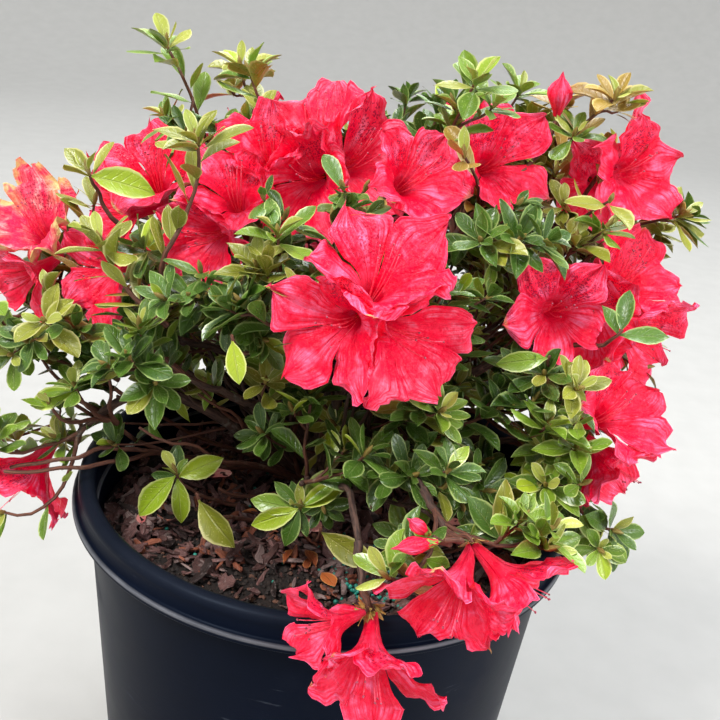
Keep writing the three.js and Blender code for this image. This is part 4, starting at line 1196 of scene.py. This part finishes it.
def growPlacedShoots():
    leaves = leafPiles["front"]
    for i, (tip, base, whorl, singles, large) in enumerate(placedShoots):
        dice, tip = diceFor("placed", i), Vector(tip)
        away = Vector((tip.x - trunk["foot"].x, tip.y - trunk["foot"].y, 0)).normalized()
        start = trunk["foot"].lerp(tip, dice.between(0.3, 0.62))
        start = Vector(base or (start.x, start.y, compostTop + compost["mound"]))
        reach = (tip - start).length
        aim = (up + away * 0.35).normalized()
        rising = start + (away * 0.25 + up * 0.2) * reach
        curve = Curve(start, rising, tip - aim * 0.4 * reach, tip)
        addStem(crookedPath(curve, 10, 0.8, dice), placedRadii, 6, 1, dice.pair())
        for right, rise, length, tone in large:
            way = (rightInView * right + upInView * rise).normalized()
            face = Vector((dice.between(-0.3, 0.3), -0.8, dice.between(0.3, 0.8))).normalized()
            growLeaf(leaves, dice, tip - aim * dice.between(0, 4), way, face, length, "leaf" + tone,
                     leaf["large"], sight=False)
        if whorl:
            tone, scale, form = whorl
            growWhorl(leaves, dice, tip, aim, "leaf" + tone, scale, whorls[form], sight=False)
        if singles:
            growSingles(leaves, dice, curve, 0.25, singles, dice.turn(), "leaf" + tone, scale,
                        sight=False)


# Brown stems that run low over the compost to the left, fork and cross the rim.
runners = {
    "radius": 2.6, "tipRadius": 1.0,
    "paths": [((-14, 20, 219), (-52, 26, 226), (-92, 6, 232), (-108, -12, 246)),
              ((-108, -12, 246), (-122, -24, 252), (-138, -38, 253), (-168, -46, 246)),
              ((-98, -4, 241), (-118, -30, 248), (-134, -46, 246), (-166, -60, 252)),
              ((-96, 0, 240), (-118, 2, 246), (-138, -8, 262), (-152, -18, 282)),
              ((-20, 26, 219), (-58, 40, 226), (-96, 36, 236), (-128, 20, 262)),
              ((-6, 12, 219), (-20, -8, 222), (-44, -22, 226), (-58, -34, 240))],
}


def growRunners():
    for i, controls in enumerate(runners["paths"]):
        dice = diceFor("runners", i)
        thick = runners["radius"] if i == 0 else runners["radius"] * dice.between(0.45, 0.6)
        path = crookedPath(Curve(*(Vector(p) for p in controls)), 16, 1.4, dice)
        addStem(path, (thick, max(thick * 0.5, runners["tipRadius"])), 8, 1, dice.pair())


growRunners()
growPlacedShoots()
for mass in masses:
    growMass(mass)
    growThicket(mass)
leafCount = sum(len(pile.points) for pile in leafPiles.values())
report(f"grew {leafCount} leaves on {len(masses)} masses")


def growSepals(pile, dice, root, axis, angle, turn, length):
    for i in range(trussTrim["sepals"]):
        way = splayed(axis, math.radians(angle), turn + i * 2 * math.pi / trussTrim["sepals"])
        addLeaf(pile, dice, leafPoints(leafForms[trussTrim["form"]], root, way, axis, length, 1.2), 1)


def growTrims():
    scales, buds = Pile(), Pile()
    for truss in (one for found in trusses.values() for one in found):
        dice = diceFor("trims", len(scales.points))
        base, facing = truss["base"], truss["facing"]
        if "bud" in truss:
            growBud(buds, dice, base, facing, *truss["bud"])
            continue
        for i in range(trussTrim["scales"]):
            way = splayed(facing, math.radians(dice.between(*trussTrim["scaleAngle"])), i * goldenAngle)
            length = trussTrim["scaleLength"] * dice.between(*trussTrim["scaleLengths"])
            root = base - facing * dice.between(0, 4)
            addLeaf(scales, dice, leafPoints(leafForms[trussTrim["form"]], root, way, facing, length, 1.1), 0)
        for flower in truss["flowers"]:
            growSepals(scales, dice, flower["base"] + flower["axis"] * 2, flower["axis"],
                       trussTrim["sepalAngle"], flower["turn"], trussTrim["sepalLength"])
        if truss["flowers"][0]["mass"]["buds"]:
            continue
        for i in range(int(dice.between(*trussTrim["budCount"]))):
            angle = math.radians(dice.between(*trussTrim["budAngle"]))
            growBud(buds, dice, base, splayed(facing, angle, dice.turn()))
    return scales, buds


def growBud(pile, dice, base, axis, size=1.0, fat=1.0):
    # a closed bud: a twisted spindle of folded lobes
    middle = base + axis * trussTrim["budLength"] * size * 0.7
    if not clearOfPot(middle, 4) or petalAir(middle) < 5:
        return
    u, v = squareTo(axis)
    length = trussTrim["budLength"] * size * dice.between(*trussTrim["budLengths"])
    rows, sides = trussTrim["budRows"], trussTrim["budSides"]
    points, blade = [], []
    for i in range(rows):
        t = i / (rows - 1)
        swell = 0.28 + 0.72 * math.sin(math.pi * min(t * 1.12, 1) ** 1.5)
        radius = trussTrim["budRadius"] * size * fat * swell * (1 - 0.75 * t ** 6)
        for k, a in enumerate(turns(sides)):
            r = radius * (1 + 0.13 * math.sin(5 * a + 3.5 * t))
            points.append(base + axis * (3 + length * t) + spoke(u, v, a) * r)
            blade.append((k / sides, 0.3 + 0.7 * t))
    points.append(base + axis * (4 + length))
    blade.append((0.5, 1))
    pile.add(points, cappedFaces(rows, sides), 0, blade, (0.0, dice.roll()))
    growSepals(pile, dice, base + axis * 1.5, axis, trussTrim["budSepalAngle"], 0,
               trussTrim["budSepalLength"])


scalePile, budPile = growTrims()


def barkRelief(p, angle, run):
    here = Vector((*polar(1.6, angle), run * 0.105))
    return 0.42 * (noise.noise(here * 2.1) + 0.5 * noise.noise(here * 5.3) + 0.3 * noise.noise(p * 0.9))


def makeLimbs():
    # the trunk with its root flare, and the boughs, crooked and knotted, growing out of it
    pile = Pile()
    rings, sides = trunk["rings"], trunk["sides"]
    points, blade = [], []
    for i in range(rings + 1):
        share = i / rings
        centre = trunk["foot"].lerp(trunkTop, share)
        flare = math.exp(-share * trunk["height"] / trunk["flareHeight"])
        plain = trunk["topRadius"] + (trunk["footRadius"] - trunk["topRadius"]) * flare
        close = 1 - 0.38 * max(0, (share - 0.8) / 0.2) ** 2
        for k, a in enumerate(turns(sides)):
            where = Vector((*polar(3, a), share * 2.2))
            rough = noise.noise(where) + 0.6 * noise.noise(where * 2.7) + 0.3 * noise.noise(where * 6)
            radius = close * (plain + trunk["lobeDepth"] * flare * math.cos(trunk["lobes"] * a))
            points.append(centre + Vector((*polar(radius + trunk["furrow"] * rough, a), 0)))
            blade.append((k / sides * 3, share * 4))
    points.append(trunkTop + up * 2)
    blade.append((0.5, 4))
    pile.add(points, cappedFaces(rings + 1, sides), 0, blade)
    steps = bough["steps"]
    for mass in masses:
        curve, radius = limbs[mass["name"]]
        dice = diceFor("limbs", mass["index"])
        radii = tapered(radius * mass["slim"], bough["tipRadius"] * mass["slim"], steps)
        for i in range(steps):
            if dice.roll() < bough["knotted"]:
                radii[i] *= 1 + bough["knots"] * dice.roll()
        tube(pile, crookedPath(curve, steps, bough["crooked"], dice), radii, bough["sides"], 0,
             (dice.roll(), 0), barkRelief)
    return pile


names = [mass["name"] for mass in masses]
limbPile = makeLimbs()
limbPile.make("trunk_and_boughs", "bark", barkMaterials[:1], ["trunk"] + ["bough_" + name for name in names])
twigPile.make("twigs", "bark", barkMaterials)
for name, pile in leafPiles.items():
    pile.make("leaves_" + name, "foliage", leafMaterials,
              ["mass_" + mass["name"] for mass in masses if sector(mass) == name])
petalPile.make("petals", "foliage", petalMaterials)
threadMaterials = [plainFinish("filament", "e8204a", "ff7088", 500.0, 0.5),
                   plainFinish("anther", "8e2030", "c8607a", 900.0, 0.7)]
threadPile.make("stamens", "foliage", threadMaterials)
scaleMaterials = [plainFinish("budScale", "8f7430", "d9c070", 500.0, 0.6),
                  plainFinish("calyx", "5c7a2a", "9cab4c", 600.0, 0.5)]
scalePile.make("bud_scales", "foliage", scaleMaterials)
budPile.make("flower_buds", "foliage", [petalMaterials[0], scaleMaterials[1]])


def arc(centre, radius, first, last, steps):
    angles = [math.radians(first + (last - first) * i / steps) for i in range(steps + 1)]
    return [(centre[0] + x, centre[1] + y) for x, y in (polar(radius, a) for a in angles)]


def makePot():
    # the turned profile: foot, tapering wall, grooved skirt, rolled bead, inner ledge and floor
    top, foot, bevel = pot["height"], pot["footRadius"], pot["footBevel"]
    skirt = pot["skirtRadius"]
    profile = [(0, 0), (foot * 0.5, 0), (foot * 0.8, 0)]
    profile += arc((foot - bevel, bevel), bevel, -90, 0, 5)
    for i in range(1, 26):
        t = i / 26
        profile.append((foot + (pot["wallTopRadius"] - foot) * t, bevel + (skirtBottom - bevel) * t))
    profile += [(pot["wallTopRadius"], skirtBottom - 0.6), (pot["wallTopRadius"] + 0.6, skirtBottom)]
    profile += arc((skirt - 1.1, skirtBottom + 1.1), 1.1, -90, 0, 4)
    profile += arc((skirt - 0.9, skirtBottom + pot["skirtLip"] - 0.4), 0.9, 0, 80, 4)
    groove = skirt - pot["grooveDepth"]
    lip = skirtBottom + pot["skirtLip"]
    profile += [(groove + 0.8, lip + 0.9), (groove, lip + 1.9), (groove, top - pot["beadRadius"] - 3.0)]
    profile += arc((beadRing, top - pot["beadRadius"]), pot["beadRadius"], -20, 200, 16)
    inner = potInnerRadius + pot["ledgeStep"]
    profile += [(inner, top - pot["beadRadius"] - 2.5), (inner, top - pot["ledgeDrop"] + 0.6)]
    profile += arc((inner - 0.8, top - pot["ledgeDrop"] - 0.3), 0.8, 30, 90, 3)
    ledge = top - pot["ledgeDrop"]
    profile += [(potInnerRadius + 0.1, ledge + 0.3), (potInnerRadius, ledge - 1)]
    for i in range(1, 9):
        t = i / 8
        profile.append((potInnerRadius + (foot - pot["wall"] - potInnerRadius) * t,
                        (ledge - 1) * (1 - t) + pot["floor"] * t))
    profile += [(foot * 0.5, pot["floor"]), (0, pot["floor"])]
    sides, pile = pot["sides"], Pile()
    points, blade = [], []
    for r, z in profile:
        for k, a in enumerate(turns(sides)):
            sway = 1 + (0.0022 * math.sin(2 * a + 0.7) + 0.0012 * math.sin(3 * a)) * z / top
            points.append((*polar(r * sway, a), z))
            blade.append((k / sides, z / top))
    pile.add(points, gridFaces(len(profile), sides, closed=True), 0, blade)
    return pile


def cutSlots(piece):
    # the drainage slots round the foot
    cutters = Pile()
    corners = [(x, y, z) for z in (-1, 1) for x, y in ((-1, -1), (1, -1), (1, 1), (-1, 1))]
    sides = [(3, 2, 1, 0), (4, 5, 6, 7), (0, 1, 5, 4), (1, 2, 6, 5), (2, 3, 7, 6), (3, 0, 4, 7)]
    for i in range(pot["slots"]):
        turned = Matrix.Rotation(2 * math.pi * (i + 0.5) / pot["slots"], 3, "Z")
        box = [turned @ Vector((pot["footRadius"] + x * pot["slotDepth"] / 2, y * pot["slotWidth"] / 2,
                                pot["floor"] + pot["slotHeight"] * (1 + z) / 2)) for x, y, z in corners]
        cutters.add(box, sides)
    cutter = newObject("slot_cutters", cutters.mesh("slot_cutters"))
    cut = piece.modifiers.new("slots", "BOOLEAN")
    cut.operation, cut.solver, cut.object = "DIFFERENCE", "EXACT", cutter
    view = bpy.context.evaluated_depsgraph_get()
    whole = piece.data
    piece.data = bpy.data.meshes.new_from_object(piece.evaluated_get(view))
    piece.modifiers.clear()
    bpy.data.objects.remove(cutter)
    bpy.data.meshes.remove(whole)


potPiece = makePot().make("nursery_pot", "pot", [potFinish()], ["pot"])
weld = potPiece.modifiers.new("weld", "WELD")
weld.merge_threshold = 0.00002
cutSlots(potPiece)
report("turned the pot")


def soilHeight(x, y):
    out = min(math.hypot(x, y) / potInnerRadius, 1)
    here = Vector((x, y, 0))
    rise = compost["mound"] * (1 - out * out)
    lumps = noise.noise(here / compost["lumpSize"]) * compost["lumps"]
    crumbs = noise.noise(here / compost["crumbSize"]) * compost["crumbs"]
    return compostTop + rise + (lumps + crumbs) - compost["sunk"]


def makeCompost():
    # the dark mix, crumbly on top, filling the pot down to its floor
    pile = Pile()
    share = (compostTop - pot["floor"]) / (pot["height"] - pot["ledgeDrop"] - 1 - pot["floor"])
    bottomRadius = pot["footRadius"] - pot["wall"] - compost["seat"]
    topRadius = bottomRadius + (potInnerRadius - pot["footRadius"] + pot["wall"]) * share
    rings, sides = compost["rings"], compost["sides"]
    points = []
    for i in range(rings + 1):
        for k in range(sides):
            x, y = polar(topRadius * i / rings, 2 * math.pi * (k + 0.5 * (i % 2)) / sides)
            fine = noise.noise(Vector((x, y, 3)) / 2.6) * 1.5 if i < rings else 0
            points.append((x, y, soilHeight(x, y) + fine))
    floor = pot["floor"] + compost["seat"]
    points += [(*polar(bottomRadius, a), floor) for a in turns(sides)] + [(0, 0, floor)]
    pile.add(points, cappedFaces(rings + 2, sides))
    return pile


# Bark chips, crumbs and what has fallen on them. The fertiliser beads lie in a patch by the front.
litter = {
    "chips": 2600, "chipLength": (6, 24), "chipThick": (0.8, 2.0), "shreds": 0.7, "bend": (-0.05, 0.09),
    "chipWidth": (0.35, 0.75), "chipRise": (0.4, 4.4), "chipMargin": 1.2, "edge": 4,
    "chipKinds": {0: 0.32, 1: 0.3, 2: 0.14, 3: 0.12, 4: 0.12},
    "finePatch": (-26, -90), "fineRadius": 34, "grains": 6500, "darkGrains": 0.8,
    "beads": 250, "beadPatch": (31, -63), "beadSpread": 30, "beadsNear": 0.75, "beadStray": 95,
    "beadRadius": 1.2, "beadRadii": (0.8, 1.15),
    "deadLeaves": 9, "petalBits": 4, "fallenReach": 118, "fallenLength": (10, 19), "fallenTilt": (72, 95),
    "placed": [(3, -64, 16, 30, 1), (-47, -16, 12, 80, 1), (-99, -34, 12, 200, 2), (-84, 20, 11, 140, 1)],
}
chipTints = [("40272a", "8a625c"), ("2f1c1b", "694640"), ("5f4846", "a48c86"), ("1a1312", "3c2a27"),
             ("6a3626", "a8644a")]


def chipFinish(name, low, high):
    # fibres along the chip, weathered pale here and there
    shade = Shade(name)
    where = shade.uvPlace("blade")
    oddness, _, _ = shade.parts(shade.uvPlace("mark"))
    fibres = shade.noise(shade.stretched(where, (5.0, 0.9, 1.0)), 1.0, 4.0, 0.7)
    grain = shade.noise(shade.objectPlace(), 460.0, 3.0)
    body = shade.blend(fibres.eased(0.35, 0.65) * 0.7 + oddness * 0.3, low, high)
    worn = shade.blend(grain.eased(0.55, 0.75) * 0.45, body, "a89690")
    return shade.finish(Base_Color=worn, Roughness=grain * 0.3 + 0.5, Specular_IOR_Level=0.4,
                        Normal=shade.bump(fibres + grain * 0.5, 0.9, 0.001))


def chipForm(dice, long, wide, thick):
    # a curled shred of bark, or a plain broken chip: stations along it, each with four corners
    shred = dice.roll() < litter["shreds"]
    wide *= 0.5 if shred else 1.0
    bend, twist = dice.between(*litter["bend"]) * (1 if shred else 0.3), dice.between(-0.9, 0.9)
    points, blade = [], []
    for i in range(7):
        t = i / 6
        swell = math.sin(math.pi * (0.06 + 0.88 * t)) ** 0.6 * dice.between(0.7, 1.15)
        x, lean, drift = (t - 0.5) * long, twist * (t - 0.5), wide * dice.between(-0.12, 0.12)
        for y, z in ((-1, -0.5), (1, -0.5), (0.75, 0.5), (-0.75, 0.5)):
            across, rise = y * swell * wide / 2, z * thick * (0.4 + 0.6 * swell)
            rise += 0.12 * across * across / max(wide, 1)
            points.append(Vector((x, across * math.cos(lean) - rise * math.sin(lean) + drift,
                                  across * math.sin(lean) + rise * math.cos(lean) + bend * x * x)))
            blade.append(((y + 1) / 2 * wide / 3, t * long / 8))
    faces = gridFaces(7, 4, closed=True) + [(3, 2, 1, 0), (24, 25, 26, 27)]
    return points, faces, blade


def makeChips():
    pile = Pile()
    dice = diceFor("chips")
    for _ in range(litter["chips"]):
        x, y = polar((potInnerRadius - litter["edge"]) * math.sqrt(dice.roll()), 2 * math.pi * dice.roll())
        fine = math.hypot(x - litter["finePatch"][0], y - litter["finePatch"][1]) < litter["fineRadius"]
        if noise.noise(Vector((x, y, 40)) / 34) < dice.between(-0.6, -0.1) or (fine and dice.roll() < 0.8):
            continue
        long = dice.between(*litter["chipLength"]) * (0.5 + 0.5 * dice.roll())
        points, faces, blade = chipForm(dice, long, long * dice.between(*litter["chipWidth"]),
                                        dice.between(*litter["chipThick"]))
        spin = Matrix.Rotation(dice.turn(), 3, "Z")
        spin = spin @ Matrix.Rotation(dice.between(-0.6, 0.6), 3, "Y")
        spin = spin @ Matrix.Rotation(dice.between(-0.9, 0.9), 3, "X")
        centre = Vector((x, y, soilHeight(x, y) + dice.between(*litter["chipRise"])))
        points = [centre + spin @ p for p in points]
        if max(math.hypot(p.x, p.y) for p in points) < potInnerRadius - litter["chipMargin"]:
            kind = dice.pick(litter["chipKinds"])
            pile.add(points, faces, kind, blade, dice.pair())
    return pile


def makeGrains():
    # crumbs of the dark mix, each a small rough double pyramid
    pile, dice = Pile(), diceFor("grains")
    for _ in range(litter["grains"]):
        x, y = polar((potInnerRadius - litter["edge"]) * math.sqrt(dice.roll()), dice.turn())
        centre, size = Vector((x, y, soilHeight(x, y) + 0.8)), 0.6 + 1.5 * dice.roll() ** 2
        rim = [centre + Vector((*polar(1, b), dice.between(-0.3, 0.3))) * size * dice.between(0.7, 1.2)
               for b in (0, 1.3, 2.5, 3.8, 5.0)]
        points = rim + [centre + up * size * 0.8, centre - up * size * 0.7]
        faces = [(k, (k + 1) % 5, 5) for k in range(5)] + [((k + 1) % 5, k, 6) for k in range(5)]
        pile.add(points, faces, 0 if dice.roll() < litter["darkGrains"] else 1, None, dice.pair())
    return pile


def makeLitter():
    pile, dice = Pile(), diceFor("litter")
    for _ in range(litter["beads"]):
        near = dice.roll() < litter["beadsNear"]
        spread = litter["beadSpread"] if near else litter["beadStray"]
        aside = polar(spread * dice.roll() ** 0.7, dice.turn())
        middle = litter["beadPatch"] if near else (0, 0)
        x, y = middle[0] + aside[0], middle[1] + aside[1]
        if math.hypot(x, y) > potInnerRadius - 5:
            continue
        centre = Vector((x, y, soilHeight(x, y) + 2.0 + 1.6 * dice.roll()))
        radius = litter["beadRadius"] * dice.between(*litter["beadRadii"])
        path = [centre + up * radius * c for c in (-0.96, -0.6, 0, 0.6, 0.93)]
        tube(pile, path, [radius * c for c in (0.28, 0.8, 1, 0.8, 0.3)], 8, 0)
    fallen = [(x, y, length, turn, kind, 1.2) for x, y, length, turn, kind in litter["placed"]]
    for i in range(litter["deadLeaves"] + litter["petalBits"]):
        where = polar(litter["fallenReach"] * math.sqrt(dice.roll()), dice.turn())
        bit = i >= litter["deadLeaves"]
        fallen.append((*where, dice.between(*litter["fallenLength"]), 360 * dice.roll(), 2 if bit else 1,
                       1.6 if bit else 1))
    for i, (x, y, length, turn, kind, wide) in enumerate(fallen):
        root = Vector((x, y, soilHeight(x, y) + 5))
        way = splayed(up, math.radians(dice.between(*litter["fallenTilt"])), math.radians(turn))
        face = (up + Vector((dice.between(-0.6, 0.6), dice.between(-0.6, 0.6), 0))).normalized()
        points = leafPoints(leafForms[i % leaf["kinds"]], root, way, face, length, wide)
        if np.hypot(points[:, 0], points[:, 1]).max() < potInnerRadius - 2:
            addLeaf(pile, dice, points, kind)
    return pile


soilFinish = plainFinish("darkMix", "0c0908", "2b1f1a", 700.0, 0.95, 1.0)
grainFinishes = [plainFinish("darkCrumb", "120d0c", "33261f", 600.0, 0.8, 0.8),
                 plainFinish("brownCrumb", "38231c", "76503e", 600.0, 0.8, 0.8)]
chipFinishes = [chipFinish(f"barkChip{i + 1}", low, high) for i, (low, high) in enumerate(chipTints)]
litterFinishes = [plainFinish("fertiliserBead", "0a5a50", "2c9c88", 300.0, 0.4),
                  leafFinish("leafDead", "7c3418", "c0662c", "d08c50", 0.6),
                  petalFinish("petalFallen", "d98a80", "f0d0c0", "c05a60")]
makeCompost().make("compost_mix", "compost", [soilFinish], ["compost"])
makeGrains().make("compost_crumbs", "compost", grainFinishes, smooth=False)
makeChips().make("bark_chips", "compost", chipFinishes, smooth=False)
makeLitter().make("beads_and_fallen_leaves", "compost", litterFinishes)


# The floor, the soft lights and the camera.
studio = {
    "floorRadius": 2.6, "sweepRadius": 1.4, "wallHeight": 4.2, "sides": 96, "target": (0, 0, 0.32),
    "world": {"Color": (0.86, 0.92, 1.0, 1.0), "Strength": 0.85},
    "lights": [dict(name="key", at=(-1.4, -1.2, 2.7), size=1.1, power=95, tone=(1.0, 0.985, 0.96)),
               dict(name="fill", at=(2.0, -1.5, 1.6), size=1.6, power=55, tone=(0.95, 0.97, 1.0)),
               dict(name="sky", at=(0.4, 1.2, 2.7), size=1.8, power=70, tone=(0.93, 0.97, 1.0))],
}
cameraSettings = {"at": (0, -0.5021, 0.5275), "toward": (0.02014205, 0.91813695, -0.39575098),
                  "roll": 6.97, "fieldOfView": 40}


def makeStudio():
    # a round floor that sweeps up into a wall on every side
    profile = [(0, 0), (studio["floorRadius"] * 0.5, 0), (studio["floorRadius"], 0)]
    profile += arc((studio["floorRadius"], studio["sweepRadius"]), studio["sweepRadius"], -80, 0, 12)
    profile.append((studio["floorRadius"] + studio["sweepRadius"], studio["wallHeight"]))
    points = [(*polar(r, a), z) for r, z in profile for a in turns(studio["sides"])]
    mesh = meshOf("floor", points, gridFaces(len(profile), studio["sides"], closed=True))
    mesh.polygons.foreach_set("use_smooth", np.full(len(mesh.polygons), True))
    floor = newObject("floor", mesh)
    shade = Shade("floorPaint")
    grain = shade.noise(shade.objectPlace(), 30.0, 4.0)
    paint = shade.blend(grain, "aeaca8", "bab8b4")
    mesh.materials.append(shade.finish(Base_Color=paint, Roughness=grain * 0.1 + 0.7))
    world = bpy.data.worlds.new("softSky")
    world.use_nodes = True
    for name, value in studio["world"].items():
        world.node_tree.nodes["Background"].inputs[name].default_value = value
    bpy.context.scene.world = world
    for light in studio["lights"]:
        lamp = bpy.data.lights.new(light["name"], "AREA")
        lamp.shape, lamp.size, lamp.energy, lamp.color = "DISK", light["size"], light["power"], light["tone"]
        holder = newObject(light["name"], lamp)
        holder.location = light["at"]
        holder.rotation_mode = "QUATERNION"
        holder.rotation_quaternion = (Vector(studio["target"]) - holder.location).to_track_quat("-Z", "Y")


def makeCamera():
    lens = bpy.data.cameras.new("camera")
    lens.sensor_width = 36
    lens.lens = 18 / math.tan(math.radians(cameraSettings["fieldOfView"] / 2))
    lens.clip_start, lens.clip_end = 0.02, 60
    camera = newObject("camera", lens)
    toward = Vector(cameraSettings["toward"]).normalized()
    level = toward.cross(up).normalized()
    above = level.cross(toward)
    right = spoke(level, above, math.radians(cameraSettings["roll"]))
    camera.matrix_world = Matrix.Translation(cameraSettings["at"]) @ Matrix(
        (right, right.cross(toward), -toward)).transposed().to_4x4()
    bpy.context.scene.camera = camera


makeStudio()
makeCamera()
bpy.context.scene.view_settings.view_transform = "Standard"
report("set up the studio")
